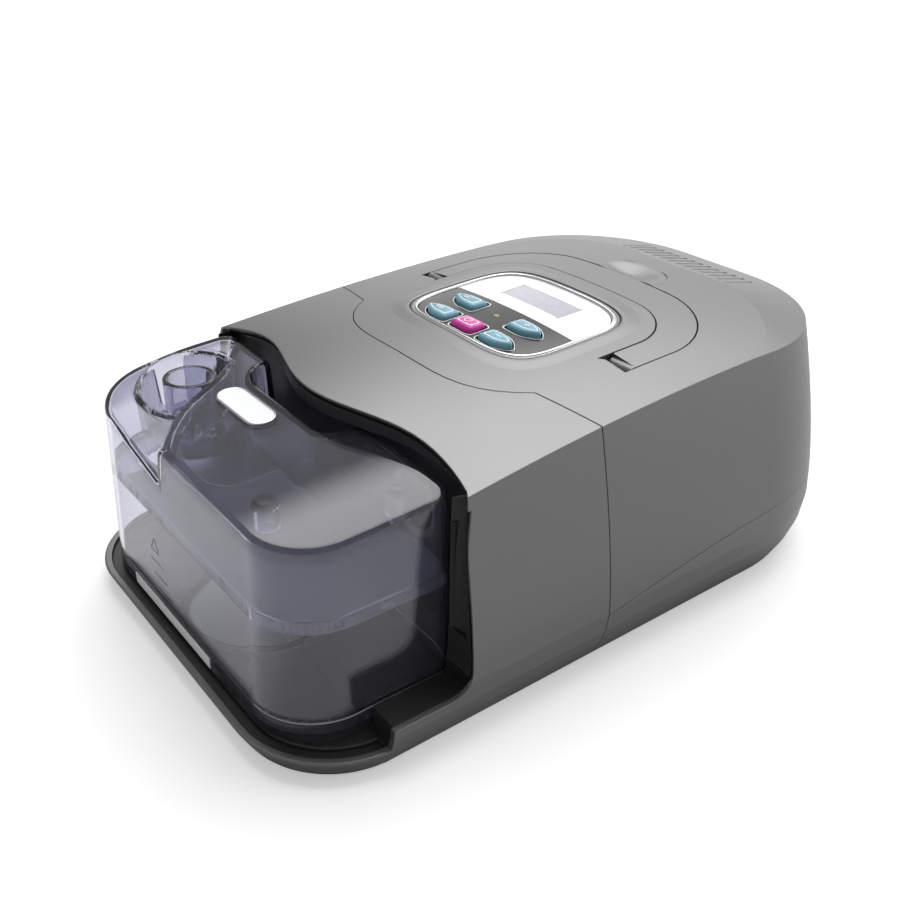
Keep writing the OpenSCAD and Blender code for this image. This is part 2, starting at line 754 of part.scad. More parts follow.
module power_inlet() color([0.12, 0.12, 0.12]) at_seam() difference() {
    intersection() {
        translate([-inlet_w / 2 - 4, rear_len - 14, inlet_z]) cube([inlet_w, 60, inlet_h]);
        casing_form(0.6);
    }
    translate([-inlet_w / 2 - 4 + 3, rear_len - 2, inlet_z + 3])
        cube([inlet_w - 6, 40, inlet_h - 6]);
    power_pin_slots();
}

module power_pin_slots() for (i = [-1:1])
    translate([i * pin_pitch - 4 - 0.9, rear_len - 6, inlet_z + inlet_h / 2 - (i == 0 ? 0 : 3)])
        cube([1.8, 12, 3.6]);

pin_pitch = 6.4;

module power_pins() color("silver") at_seam() power_pin_slots();

data_w = 14;
data_h = 8;

module data_port() color([0.3, 0.3, 0.32]) at_seam() difference() {
    intersection() {
        translate([-40, rear_len - 18, inlet_z + 3]) cube([data_w, 60, data_h]);
        casing_form(0.8);
    }
    translate([-40 + 1.5, rear_len - 8, inlet_z + 4.5]) cube([data_w - 3, 40, data_h - 3]);
}

filter_x0 = 18;
filter_w = 40;
filter_z0 = 9;
filter_h = 24;
filter_depth = 8;

module filter_cover() color([0.5, 0.5, 0.5]) at_seam() difference() {
    intersection() {
        translate([filter_x0 + seam_gap, rear_len - 30, filter_z0 + seam_gap])
            cube([filter_w - 2 * seam_gap, 80, filter_h - 2 * seam_gap]);
        casing_form(0);
    }
    casing_form(2);
    for (i = [0:6]) translate([filter_x0 + 5, rear_len - 40, filter_z0 + 4 + i * 2.6])
        cube([filter_w - 10, 80, 1.3]);
}

module air_filter() color([0.85, 0.85, 0.83]) at_seam() intersection() {
    difference() {
        casing_form(2.3);
        casing_form(filter_depth);
    }
    translate([filter_x0 + 0.6, rear_len - 40, filter_z0 + 0.6])
        cube([filter_w - 1.2, 80, filter_h - 1.2]);
}

module muffler_foam() color([0.3, 0.3, 0.3]) at_seam() intersection() {
    union() {
        casing_form(filter_depth + 0.3);
        intersection() {
            casing_form(wall + fit_gap);
            translate([-far / 2, 0, 0]) cube([far, rear_len - 16, far]);
        }
    }
    translate([filter_x0 - 6, blower_y + scroll_r + 4, 0]) cube([filter_w + 6, 80, 33]);
}

foot_places = [[-72, -22], [72, -22], [-70, 20], [70, 20], [-58, 132], [58, 132],
    [-60, -112], [60, -112]];
foot_d = 12;
foot_sunk = 0.8;

module rubber_feet() color([0.1, 0.1, 0.1]) at_seam() for (p = foot_places)
    translate([p[0], p[1], 0]) cylinder(d1 = foot_d - 1, d2 = foot_d, h = ground_gap + foot_sunk);

module bottom_cover() color(body_grey) at_seam() difference() {
    union() {
        difference() {
            difference() {
                intersection() {
                    casing_form(0);
                    translate([-far / 2, seam_gap, -1]) cube([far, far, far]);
                }
                above_parting(-seam_gap / 2);
            }
            intersection() {
                casing_form(wall);
                translate([-far / 2, wall + seam_gap, -1]) cube([far, far, far]);
            }
        }
        for (p = case_screw_places) translate([p[0], p[1], ground_gap + 1])
            cylinder(d = case_boss_d, h = parting(p[1]) - ground_gap - 3);
        for (p = main_posts) translate([p[0], p[1], ground_gap + 1])
            cylinder(d = 6, h = main_board_z - ground_gap - 1);
        for (i = [0:3]) translate([mount_at(i)[0], mount_at(i)[1], ground_gap + 1])
            cylinder(d = 11, h = housing_z - mount_h - ground_gap - 1);
    }
    for (p = case_screw_places) translate([p[0], p[1], -1]) {
        cylinder(d = 3.2, h = 60);
        cylinder(d = screw_head_d + 0.4, h = 1 + screw_seat_z);
    }
    for (p = foot_places) translate([p[0], p[1], -1])
        cylinder(d = foot_d, h = 1 + ground_gap + foot_sunk);
    translate([-inlet_w / 2 - 4, rear_len - 20, inlet_z]) cube([inlet_w, 60, inlet_h]);
    translate([-40, rear_len - 20, inlet_z + 3]) cube([data_w, 60, data_h]);
    translate([filter_x0, rear_len - 40, filter_z0]) cube([filter_w, 80, filter_h]);
    translate([-dock_x - dock_w / 2, -1, dock_z]) cube([dock_w, 8, dock_h]);
}

module case_screws() color("silver") at_seam() for (p = case_screw_places)
    translate([p[0], p[1], screw_seat_z - screw_head_h]) {
        difference() {
            cylinder(d = screw_head_d, h = screw_head_h);
            translate([0, 0, -eps]) cylinder(d = 3, h = 1, $fn = 6);
        }
        translate([0, 0, 1]) cylinder(d = screw_d,
            h = parting(p[1]) + screw_grip - screw_seat_z + screw_head_h - 1.1);
    }

dock_x = 30;
dock_w = 22;
dock_h = 9;
dock_z = 9;

module dock_socket() color([0.14, 0.14, 0.15]) at_seam() difference() {
    translate([-dock_x - dock_w / 2, seam_gap, dock_z]) cube([dock_w, 9, dock_h]);
    translate([-dock_x - dock_w / 2 + 2, 0, dock_z + 2]) cube([dock_w - 4, 6, dock_h - 4]);
}

// Plan line of the front edge of the humidifier cover.
function cover_edge(x) = abs(x) <= 60
    ? -cover_edge_side - (cover_edge_mid - cover_edge_side) * (1 + cos(3 * x)) / 2
    : abs(x) <= crease_half_w
        ? -cover_edge_side - 3.6 * pow((abs(x) - 60) / (crease_half_w - 60), 2)
        : -cover_edge_side - 3.6 - 0.6 * (abs(x) - crease_half_w);

edge_xs = [-125, -105, for (i = [-15:15]) i * crease_half_w / 15, 105, 125];

// Space behind the cover's front edge, moved to the rear by gap.
module behind_cover_edge(gap, low, high) translate([0, 0, low]) linear_extrude(high - low)
    polygon(concat([for (x = edge_xs) [x, cover_edge(x) + gap]], [[125, 60], [-125, 60]]));

// Section of the lip, measured outwards from its upper edge to the depth core.
function lip_section(inset, low, core) = concat([[-core, low]],
    [for (z = [low, 4, 7]) [swell(max(z, ground_gap)) - swell(lip_h) - inset, z]],
    [[-inset, lip_h - 0.6], [-inset - 0.6, lip_h], [-core, lip_h]]);

// Tray that follows the lip's plan, from height low to the lip's top and open-ended at rear.
module lip_form(inset, rear, low) {
    translate([0, rear, 0]) rotate([90, 0, 0]) linear_extrude(rear - lip_cy)
        for (side = [0, 1]) mirror([side, 0]) translate([lip_edge, 0])
            polygon(lip_section(inset, low, lip_edge));
    translate([lip_cx, -lip_front, 0]) rotate([90, 0, -90]) linear_extrude(2 * lip_cx)
        polygon(lip_section(inset, low, lip_corner_r));
    for (side = [0, 1]) mirror([side, 0, 0]) translate([lip_cx, lip_cy, 0])
        rotate([0, 0, -90]) rotate_extrude(angle = 90, $fn = 96)
        translate([lip_corner_r, 0]) polygon(lip_section(inset, low, lip_corner_r));
}

cover_turn = 9;
cover_lean = 5;

// Side view of the cover, with its opening and its foot.
module cover_side_view() rotate([90, 0, 90]) linear_extrude(2 * far, center = true)
    polygon(concat([[20, -5], [-foot_end, -5], [-foot_end, foot_h]],
        [for (a = [90:-15:0]) [-opening_y - cover_turn + cover_turn * cos(a),
            foot_h + cover_turn - cover_turn * sin(a)]],
        [[-opening_y + cover_lean * 0.3, 75], [-opening_y + cover_lean, tongue_root_h - 1],
        [-far / 2, tongue_root_h - 1], [-far / 2, far / 2], [20, far / 2]]));

bulkhead = 2.2;
edge_t = 0.9;
edge_rebate = 1.6;

// Space behind the cover's front edge and beside its side openings.
module cover_limits() intersection() {
    cover_side_view();
    union() {
        behind_cover_edge(0, 40, 140);
        translate([-far / 2, -160, -1]) cube([far, 200, 41 + eps]);
    }
}

// The cover's edges are rebated inside, so that only a thin lip shows.
module humidifier_cover() color(body_grey) at_seam() difference() {
    union() {
        intersection() {
            casing_form(0);
            cover_limits();
            translate([-far / 2, -160, 0]) cube([far, 160 - seam_gap / 2, far]);
        }
        intersection() {
            lip_form(0, -bulkhead, ground_gap);
            translate([-far / 2, -160, 0]) cube([far, 161 - foot_end, far]);
        }
    }
    difference() {
        union() {
            intersection() {
                casing_form(wall);
                translate([-far / 2, -foot_end, -1]) cube([far, foot_end - bulkhead, far]);
            }
            lip_form(wall, -bulkhead, -1);
            translate([-lip_cx - 5, -foot_end - 5, -1]) cube([2 * lip_cx + 10, foot_end, 40]);
        }
        for (p = base_screw_places) translate([p[0], p[1], ground_gap + tray_floor + fit_gap]) {
            cylinder(d = base_boss_d, h = 24);
            translate([-2, 0, lip_h]) cube([4, -p[1], 24 - lip_h]);
        }
    }
    difference() {
        intersection() {
            casing_form(edge_t);
            translate([-far / 2, -foot_end, foot_h]) cube([far, foot_end, far]);
        }
        translate([0, edge_rebate, 0]) cover_limits();
    }
    for (p = base_screw_places) translate([p[0], p[1], 0]) cylinder(d = screw_d, h = 16);
    behind_seam(-seam_gap / 2);
    translate([duct_x, -10, air_z]) rotate([-90, 0, 0]) cylinder(d = duct_d + 0.4, h = 12);
    translate([-dock_x - dock_w / 2 + 1, -8, dock_z + 1]) cube([dock_w - 2, 9, dock_h - 2]);
}

gap_blend_r = 6;

// Finger gap in the chamber's rear wall, grown by grow.
module finger_gap(grow) translate([0, 0, gap_floor - grow]) linear_extrude(60) {
    left_cx = -gap_left + gap_left_r;
    right_cx = gap_right - gap_right_r;
    translate([left_cx, -gap_front - grow]) square([right_cx - left_cx, 60]);
    for (end = [[left_cx, gap_left_r], [right_cx, gap_right_r]])
        translate([end[0], -gap_front + end[1]]) {
            circle(end[1] + grow, $fn = 72);
            translate([end[0] < 0 ? -end[1] - grow : 0, 0]) square([end[1] + grow, 60]);
        }
    translate([gap_right, -chamber_rear - gap_blend_r]) difference() {
        square([gap_blend_r, 60]);
        translate([gap_blend_r, 0]) circle(gap_blend_r - grow);
    }
}

// Section of the chamber's drafted wall, measured outwards from its lower edge.
function chamber_section(inset, low, high, core) = [[-core, low],
    [-inset - chamber_draft * (low - chamber_z), low],
    [-inset - chamber_draft * (high - chamber_z), high], [-core, high]];

// Drafted body of the chamber between two heights, with its walls drawn in by inset.
module chamber_form(inset, low, high) {
    rear_cx = chamber_half_w - chamber_rear_r;
    intersection() {
        union() {
            translate([0, -chamber_rear - inset, 0]) rotate([90, 0, 0])
                linear_extrude(-chamber_rear - inset - chamber_cy)
                for (side = [0, 1]) mirror([side, 0]) translate([chamber_half_w, 0])
                    polygon(chamber_section(inset, low, high, chamber_half_w));
            translate([chamber_cx, -chamber_front, 0]) rotate([90, 0, -90])
                linear_extrude(2 * chamber_cx)
                polygon(chamber_section(inset, low, high, chamber_corner_r));
            for (side = [0, 1]) mirror([side, 0, 0]) translate([chamber_cx, chamber_cy, 0])
                rotate([0, 0, -90]) rotate_extrude(angle = 90, $fn = 96)
                translate([chamber_corner_r, 0])
                polygon(chamber_section(inset, low, high, chamber_corner_r));
        }
        translate([0, 0, low - 1]) linear_extrude(high - low + 2) {
            translate([-120, -160]) square([240, 160 - chamber_rear - chamber_rear_r]);
            translate([-rear_cx, -160]) square([2 * rear_cx, 161 - chamber_rear]);
            for (s = [-1, 1]) translate([s * rear_cx, -chamber_rear - chamber_rear_r])
                circle(chamber_rear_r - inset);
        }
    }
}

// Space above the deck, lowered by inset.
module above_deck(inset) translate([0, -60, deck_rear_h - inset])
    rotate([atan(deck_slope), 0, 0]) translate([-150, -120, 0]) cube([300, 200, 60]);

ramp_side = 0.30;
ramp_low = 0.12;
ramp_fall = 0.19;
ramp_x = -40;
ramp_h = 83.5;

// Space above a plane through the point x, y, z that slopes down to the right.
module above_plane(x, y, z, slope) translate([x, y, z])
    rotate([0, atan(slope), 0]) rotate([atan(ramp_fall * cos(atan(slope))), 0, 0])
    translate([-100, -100, 0]) cube([200, 200, 60]);

// Curve between the high deck and the low deck, a cubic from the rear left to the front.
function step_point(t) = (1 - t)^3 * [-57, -71] + 3 * (1 - t)^2 * t * [-44, -82]
    + 3 * (1 - t) * t^2 * [-24, -118] + t^3 * [-3, -134];

// Space to the left of the step between the two decks, grown by grow.
module left_of_step(grow) translate([0, 0, 50]) linear_extrude(80) offset(delta = grow)
    polygon(concat([for (i = [0:16]) step_point(i / 16)], [[-3, -150], [-100, -150],
        [-100, -58], [-64, -64]]));

// Space over the low deck, which rises to the left and to the rear.
module above_ramp(inset) intersection() {
    left_of_step(inset);
    above_plane(ramp_x, -port_y, ramp_h - inset, ramp_side);
    above_plane(ramp_x, -port_y, ramp_h - inset, ramp_low);
}

// Round well of the outlet port, cut off by the step on its right.
module well(grow) intersection() {
    translate([-port_x, -port_y, well_floor - grow])
        cylinder(r = well_r + grow, h = 60, $fn = 72);
    left_of_step(grow);
}

tube_bore = 17.6;
tube_neck_d = tube_bore + 2.4;
inlet_x = duct_x;
inlet_port_d = 20;

module chamber_shell() color(smoke) at_seam() difference() {
    chamber_form(0, chamber_split_h, 100);
    above_deck(0);
    above_ramp(0);
    well(0);
    finger_gap(0);
    difference() {
        chamber_form(clear_wall, chamber_split_h - 1, 99);
        above_deck(clear_wall);
        above_ramp(clear_wall);
        well(clear_wall);
        finger_gap(clear_wall);
    }
    translate([-port_x, -port_y, 50]) cylinder(d = tube_neck_d, h = 40);
    translate([inlet_x, -80, air_z]) rotate([-90, 0, 0]) cylinder(d = inlet_port_d, h = 40);
}

tube_drop = 4;

// Tube that stands on the floor of the well, with a neck through it.
module outlet_tube() color(smoke) at_seam() translate([-port_x, -port_y, 0]) difference() {
    union() {
        translate([0, 0, well_floor]) cylinder(d = port_d, h = port_top - well_floor);
        translate([0, 0, well_floor - clear_wall - tube_drop])
            cylinder(d = tube_neck_d, h = clear_wall + tube_drop + 1);
    }
    translate([0, 0, well_floor - far / 2]) cylinder(d = tube_bore, h = far);
}

plate_y = 94.5;
gasket_t = 1;

module chamber_base() color(smoke) at_seam() difference() {
    chamber_form(0, chamber_z, chamber_split_h - gasket_t);
    chamber_form(clear_wall, chamber_z + 2.4, chamber_split_h);
    translate([0, -plate_y, 0]) cylinder(d = chamber_plate_d - 6, h = 60, $fn = 96);
    translate([0, -plate_y, 0]) cylinder(d = chamber_plate_d, h = chamber_z + 1.2, $fn = 96);
}

module chamber_plate() color("silver") at_seam() translate([0, -plate_y, chamber_z])
    cylinder(d = chamber_plate_d, h = 1.2, $fn = 96);

module chamber_gasket() color([0.3, 0.3, 0.34]) at_seam() difference() {
    chamber_form(0.4, chamber_split_h - gasket_t, chamber_split_h);
    chamber_form(clear_wall, chamber_split_h - 2, chamber_split_h + 1);
}

tray_t = 1.6;
tray_skirt = 5;

// Splash tray between the water and the air space, with holes under both ports.
module splash_tray() color([0.5, 0.5, 0.6, 0.5]) at_seam() difference() {
    chamber_form(clear_wall, tray_h - tray_skirt, tray_h);
    chamber_form(clear_wall + tray_t, tray_h - tray_skirt - 1, tray_h - tray_t);
    translate([inlet_x, -chamber_rear - 20, 0]) cylinder(d = 18, h = 99);
    translate([-port_x, -port_y - 18, 0]) cylinder(d = 12, h = 99);
}

boss_places = [[44, -113], [64, -73]];
boss_h = 6;

module boss_seals() color([0.2, 0.2, 0.22]) at_seam() for (p = boss_places)
    translate([p[0], p[1], deck_rear_h + deck_slope * (p[1] + 60) - clear_wall - boss_h])
    difference() {
        cylinder(d = 9, h = boss_h - 0.4);
        translate([0, 0, -1]) cylinder(d = 4, h = 4);
    }

badge_w = 33;
badge_l = 11;
badge_t = 0.6;

module chamber_badge() color([0.93, 0.93, 0.93]) at_seam() intersection() {
    translate([-17.5, -87.5, 60]) linear_extrude(60) {
        square([badge_w - badge_l, badge_l], center = true);
        for (s = [-1, 1]) translate([s * (badge_w - badge_l) / 2, 0]) circle(d = badge_l);
    }
    difference() {
        above_deck(0);
        above_deck(-badge_t);
    }
}

module front_label() color([0.93, 0.93, 0.93]) at_seam()
    translate([-44, -chamber_front - 0.3, chamber_z + 1]) cube([68, 0.3, 5]);

pocket_top = deck_rear_h + deck_slope * (60 - chamber_rear) + pocket_gap;
liner_t = 2;
liner_recess = 0.5;
liner_rear_y = -chamber_rear + pocket_gap + liner_t;

// Room that the chamber slides in, grown by grow.
module pocket(grow) {
    half = chamber_half_w + pocket_gap + grow;
    translate([-half, -170, chamber_z - 0.4])
        cube([2 * half, 170 - chamber_rear + pocket_gap + grow, pocket_top - chamber_z + 0.4]);
}

tray_floor = 2.4;
tray_rail = 18;
fit_gap = 0.3;
collar_w = 3;
base_screw_places = [[6 - crease_half_w, -8], [crease_half_w - 6, -8]];
base_boss_d = 8;

module humidifier_base() color([0.2, 0.2, 0.18]) at_seam() difference() {
    union() {
        difference() {
            lip_form(wall + fit_gap, -bulkhead - fit_gap, ground_gap);
            difference() {
                lip_form(wall + tray_rail, -bulkhead - 14, ground_gap + tray_floor);
                translate([0, -plate_y, 0]) cylinder(d = heater_d + 2 * collar_w, h = 40);
            }
            difference() {
                translate([-far / 2, -160, lip_h - 1.4]) cube([far, 60, 5]);
                lip_form(wall + 5, -bulkhead, ground_gap);
            }
        }
        intersection() {
            casing_form(wall + fit_gap);
            union() {
                intersection() {
                    translate([0, liner_recess, 0]) cover_limits();
                    union() {
                        translate([-far / 2, -opening_y, lip_h - 1]) cube([far, 5, far]);
                        translate([-far / 2, -far, tongue_root_h - 5])
                            cube([far, far + liner_rear_y, far]);
                    }
                }
                translate([-far / 2, liner_rear_y - liner_t, lip_h - 1])
                    cube([far, liner_t, far]);
                translate([-far / 2, -foot_end + 1.5, lip_h - 1])
                    cube([far, foot_end - opening_y, foot_h - lip_h]);
            }
        }
        intersection() {
            pocket(liner_t);
            translate([-far / 2, -opening_y + 1, lip_h - 1])
                cube([far, opening_y + liner_rear_y - 2, 75]);
        }
    }
    pocket(0);
    translate([0, -plate_y, ground_gap + tray_floor]) cylinder(d = heater_d + 0.6, h = 40);
    translate([inlet_x, -80, air_z]) rotate([-90, 0, 0]) cylinder(d = duct_d + 0.4, h = 60);
    for (p = foot_places) translate([p[0], p[1], -1])
        cylinder(d = foot_d, h = 1 + ground_gap + foot_sunk);
    for (p = base_screw_places) translate([p[0], p[1], -1]) {
        cylinder(d = screw_d + 0.2, h = 40);
        cylinder(d = 6.4, h = ground_gap + 2.6);
        translate([0, 0, ground_gap + tray_floor + 1]) cylinder(d = base_boss_d + 0.6, h = 40);
    }
}

heater_t = 2.3;
heater_top = chamber_z - 0.3;
element_t = 0.6;

module heater_plate() color("silver") at_seam() translate([0, -plate_y, heater_top - heater_t])
    cylinder(d = heater_d, h = heater_t, $fn = 96);

module heater_element() color([0.75, 0.45, 0.2]) at_seam()
    translate([0, -plate_y, heater_top - heater_t - element_t]) difference() {
        cylinder(d = heater_d - 6, h = element_t);
        translate([0, 0, -1]) cylinder(d = 12, h = 3);
    }

module heater_insulation() color([0.85, 0.85, 0.8]) at_seam()
    translate([0, -plate_y, ground_gap + tray_floor]) cylinder(d = heater_d - 2,
        h = heater_top - heater_t - element_t - ground_gap - tray_floor);

module humidifier_board() color([0.1, 0.35, 0.2]) at_seam()
    translate([wall + tray_rail + 5 - lip_edge, -43, ground_gap + tray_floor + 2]) {
        cube([62, 24, board_t]);
        for (x = [3, 59], y = [3, 21]) translate([x, y, -2]) cylinder(d = 4, h = 2 + eps);
        translate([10, 6, board_t]) cube([14, 10, 9]);
        translate([34, 8, board_t]) cylinder(d = 8, h = 10);
    }

module dock_plug() color([0.2, 0.2, 0.2]) at_seam()
    translate([-dock_x - dock_w / 2 + 2.4, -14, dock_z + 2.4])
        cube([dock_w - 4.8, 19, dock_h - 4.8]);

module air_elbow() color([0.3, 0.3, 0.3]) at_seam() difference() {
    translate([duct_x, -chamber_rear + pocket_gap + 0.6, air_z]) rotate([-90, 0, 0])
        cylinder(d = duct_d, h = chamber_rear - pocket_gap - 1.6);
    translate([duct_x, -80, air_z]) rotate([-90, 0, 0]) cylinder(d = duct_d - 5, h = 90);
}

module dock_seal() color([0.6, 0.6, 0.62]) at_seam() difference() {
    translate([duct_x, -1, air_z]) rotate([-90, 0, 0]) cylinder(d = duct_d, h = 1);
    translate([duct_x, -2, air_z]) rotate([-90, 0, 0]) cylinder(d = duct_d - 5, h = 80);
}

module inlet_seal() color([0.6, 0.6, 0.62]) at_seam() difference() {
    translate([duct_x, -chamber_rear + 0.3, air_z]) rotate([-90, 0, 0])
        cylinder(d = duct_d, h = pocket_gap + 0.3);
    translate([duct_x, -80, air_z]) rotate([-90, 0, 0]) cylinder(d = duct_d - 5, h = 90);
}

module humidifier_screws() color("silver") at_seam() for (p = base_screw_places)
    translate([p[0], p[1], ground_gap]) {
        cylinder(d = 6, h = 1.5);
        cylinder(d = screw_d, h = 14);
    }

top_cover();
bottom_cover();
carry_handle();
handle_pins();
panel_bezel();
label_dark();
label_light();
lcd_window();
lcd_module();
power_key();
key_front_left();
key_rear_left();
key_plus();
key_minus();
keypad_membrane();
status_led();
keypad_board();
buzzer();
main_board();
blower_housing_lower();
blower_housing_upper();
impeller();
motor_shaft();
motor_stator();
motor_bearings();
blower_mounts();
muffler_foam();
outlet_duct();
pressure_sensor();
power_supply();
power_inlet();
power_pins();
data_port();
air_filter();
filter_cover();
rubber_feet();
case_screws();
dock_socket();
humidifier_cover();
humidifier_base();
heater_plate();
heater_element();
heater_insulation();
humidifier_board();
dock_plug();
air_elbow();
dock_seal();
inlet_seal();
humidifier_screws();
chamber_shell();
chamber_base();
chamber_gasket();
chamber_plate();
splash_tray();
outlet_tube();
boss_seals();
chamber_badge();
front_label();
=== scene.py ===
"""Looks of a bilevel pap machine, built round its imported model. Metres, in the model's frame."""
import json
import math

import bpy
import numpy as np
from mathutils import Matrix, Vector


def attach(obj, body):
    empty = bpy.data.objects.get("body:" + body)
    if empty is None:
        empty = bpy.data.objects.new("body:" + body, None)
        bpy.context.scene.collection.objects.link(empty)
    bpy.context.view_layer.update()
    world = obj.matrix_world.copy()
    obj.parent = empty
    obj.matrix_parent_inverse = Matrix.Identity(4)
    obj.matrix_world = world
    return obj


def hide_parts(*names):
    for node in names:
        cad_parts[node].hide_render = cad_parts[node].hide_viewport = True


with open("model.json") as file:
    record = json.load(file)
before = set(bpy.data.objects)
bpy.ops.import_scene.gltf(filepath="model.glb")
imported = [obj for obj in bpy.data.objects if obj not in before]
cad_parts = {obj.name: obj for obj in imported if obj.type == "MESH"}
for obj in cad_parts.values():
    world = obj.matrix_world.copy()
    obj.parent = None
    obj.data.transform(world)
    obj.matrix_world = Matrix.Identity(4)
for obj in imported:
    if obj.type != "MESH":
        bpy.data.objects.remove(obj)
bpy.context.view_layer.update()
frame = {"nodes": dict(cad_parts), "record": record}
NODES = frame["nodes"]

# The seam between the humidifier and the main unit lies at this y.
SEAM_Y = -0.0201
# Camera as solved from the photo: place, turns in radians, and lens in millimetres.
CAMERA_AT = (0.31695, -0.26720, 0.27524)
CAMERA_YAW = 0.9107
CAMERA_PITCH = 0.5081
CAMERA_ROLL = 0.018
CAMERA_LENS = 42.08


def make_camera():
    """Camera from its solved place: yaw to the left of +Y, pitch down, and a small roll."""
    forward = Vector((-math.sin(CAMERA_YAW) * math.cos(CAMERA_PITCH),
                      math.cos(CAMERA_YAW) * math.cos(CAMERA_PITCH), -math.sin(CAMERA_PITCH)))
    level = Vector((math.cos(CAMERA_YAW), math.sin(CAMERA_YAW), 0.0))
    upright = level.cross(forward)
    right = math.cos(CAMERA_ROLL) * level + math.sin(CAMERA_ROLL) * upright
    up = -math.sin(CAMERA_ROLL) * level + math.cos(CAMERA_ROLL) * upright
    data = bpy.data.cameras.new("photo_camera")
    data.sensor_width = 36.0
    data.lens = CAMERA_LENS
    data.clip_start = 0.01
    camera = bpy.data.objects.new("photo_camera", data)
    turn = Matrix((right, up, -forward)).transposed().to_4x4()
    camera.matrix_world = Matrix.Translation(CAMERA_AT) @ turn
    bpy.context.collection.objects.link(camera)
    bpy.context.scene.camera = camera


class Shader:
    """A material with one Principled BSDF, and short ways to add and link nodes."""

    def __init__(self, name, colour, roughness, metallic=0.0, **sockets):
        self.material = bpy.data.materials.new(name)
        self.material.use_nodes = True
        self.tree = self.material.node_tree
        self.surface = self.tree.nodes["Principled BSDF"]
        self.surface.inputs["Base Color"].default_value = (*colour, 1.0)
        self.surface.inputs["Roughness"].default_value = roughness
        self.surface.inputs["Metallic"].default_value = metallic
        for key, value in sockets.items():
            self.surface.inputs[key.replace("_", " ")].default_value = value

    def node(self, kind, **values):
        """Adds a node; a value is set on the attribute or on the input of that name."""
        made = self.tree.nodes.new(kind)
        for key, value in values.items():
            if hasattr(made, key):
                setattr(made, key, value)
            else:
                made.inputs[key.replace("_", " ")].default_value = value
        return made

    def link(self, source, output, target, socket):
        self.tree.links.new(source.outputs[output], target.inputs[socket])

    def noise(self, scale, detail=3.0):
        """Noise texture on the piece's own coordinates."""
        place = self.node("ShaderNodeTexCoord")
        noise = self.node("ShaderNodeTexNoise", Scale=scale, Detail=detail)
        self.link(place, "Object", noise, "Vector")
        return noise

    def mottle(self, noise, dark, light, low=0.35, high=0.65):
        """Base colour that drifts between dark and light as the noise does. Gives the ramp."""
        ramp = self.node("ShaderNodeValToRGB")
        ramp.color_ramp.elements[0].position = low
        ramp.color_ramp.elements[1].position = high
        ramp.color_ramp.elements[0].color = (*dark, 1.0)
        ramp.color_ramp.elements[1].color = (*light, 1.0)
        self.link(noise, "Fac", ramp, "Fac")
        self.link(ramp, "Color", self.surface, "Base Color")
        return ramp

    def rough_range(self, noise, low, high):
        """Roughness that drifts from low to high as the noise does."""
        span = self.node("ShaderNodeMapRange", To_Min=low, To_Max=high)
        self.link(noise, "Fac", span, "Value")
        self.link(span, "Result", self.surface, "Roughness")

    def relief(self, height_node, output, strength, distance, edge=0.0):
        """Bump from a height, on top of edges softened to the radius edge."""
        bump = self.node("ShaderNodeBump", Strength=strength, Distance=distance)
        self.link(height_node, output, bump, "Height")
        if edge:
            soft = self.node("ShaderNodeBevel", samples=6, Radius=edge)
            self.link(soft, "Normal", bump, "Normal")
        self.link(bump, "Normal", self.surface, "Normal")


def lacquer(name, dark, light):
    """Metallic lacquer: fine bright flakes, a slow drift in its sheen, and softened edges."""
    shader = Shader(name, light, 0.36, metallic=0.82)
    flakes = shader.noise(5200.0, 2.0)
    shader.mottle(flakes, dark, light, 0.3, 0.7)
    shader.rough_range(shader.noise(22.0), 0.35, 0.42)
    shader.relief(flakes, "Fac", 0.05, 0.00002, 0.0006)
    return shader.material


def moulded(name, colour, roughness=0.45, edge=0.0004, grain=900.0, depth=0.15, spread=0.1):
    """Moulded plastic with a fine spark-eroded grain and softened edges."""
    shader = Shader(name, colour, roughness)
    grain_noise = shader.noise(grain, 3.0)
    darker = tuple((1.0 - spread) * c for c in colour)
    lighter = tuple(min(1.0, (1.0 + 0.7 * spread) * c) for c in colour)
    shader.mottle(grain_noise, darker, lighter)
    shader.rough_range(shader.noise(45.0), roughness - 0.05, roughness + 0.06)
    shader.relief(grain_noise, "Fac", depth, 0.00008, edge)
    return shader.material


def bright_metal(name, colour, roughness=0.28, scale=400.0, depth=0.04):
    """Plated metal with a faint uneven polish."""
    shader = Shader(name, colour, roughness, metallic=1.0)
    noise = shader.noise(scale, 4.0)
    shader.mottle(noise, tuple(0.94 * c for c in colour), colour)
    shader.rough_range(noise, roughness - 0.06, roughness + 0.06)
    shader.relief(noise, "Fac", depth, 0.00003, 0.0003)
    return shader.material


def smoky_clear(name, colour, clear=0.98, roughness=0.03, deck=None):
    """Tinted clear plastic with a slow drift in its polish. A deck colour takes over where the
    piece's own attribute deck_share says that the plastic is thick."""
    shader = Shader(name, colour, roughness, IOR=1.49, Transmission_Weight=clear,
                    Specular_IOR_Level=0.6)
    haze = shader.noise(60.0)
    tint = shader.mottle(haze, tuple(0.96 * c for c in colour), colour)
    shader.rough_range(haze, 0.6 * roughness, 1.6 * roughness)
    if deck:
        share = shader.node("ShaderNodeAttribute", attribute_name="deck_share")
        blend = shader.node("ShaderNodeMixRGB", Color2=(*deck, 1.0))
        shader.link(share, "Fac", blend, "Fac")
        shader.link(tint, "Color", blend, "Color1")
        shader.link(blend, "Color", shader.surface, "Base Color")
    return shader.material


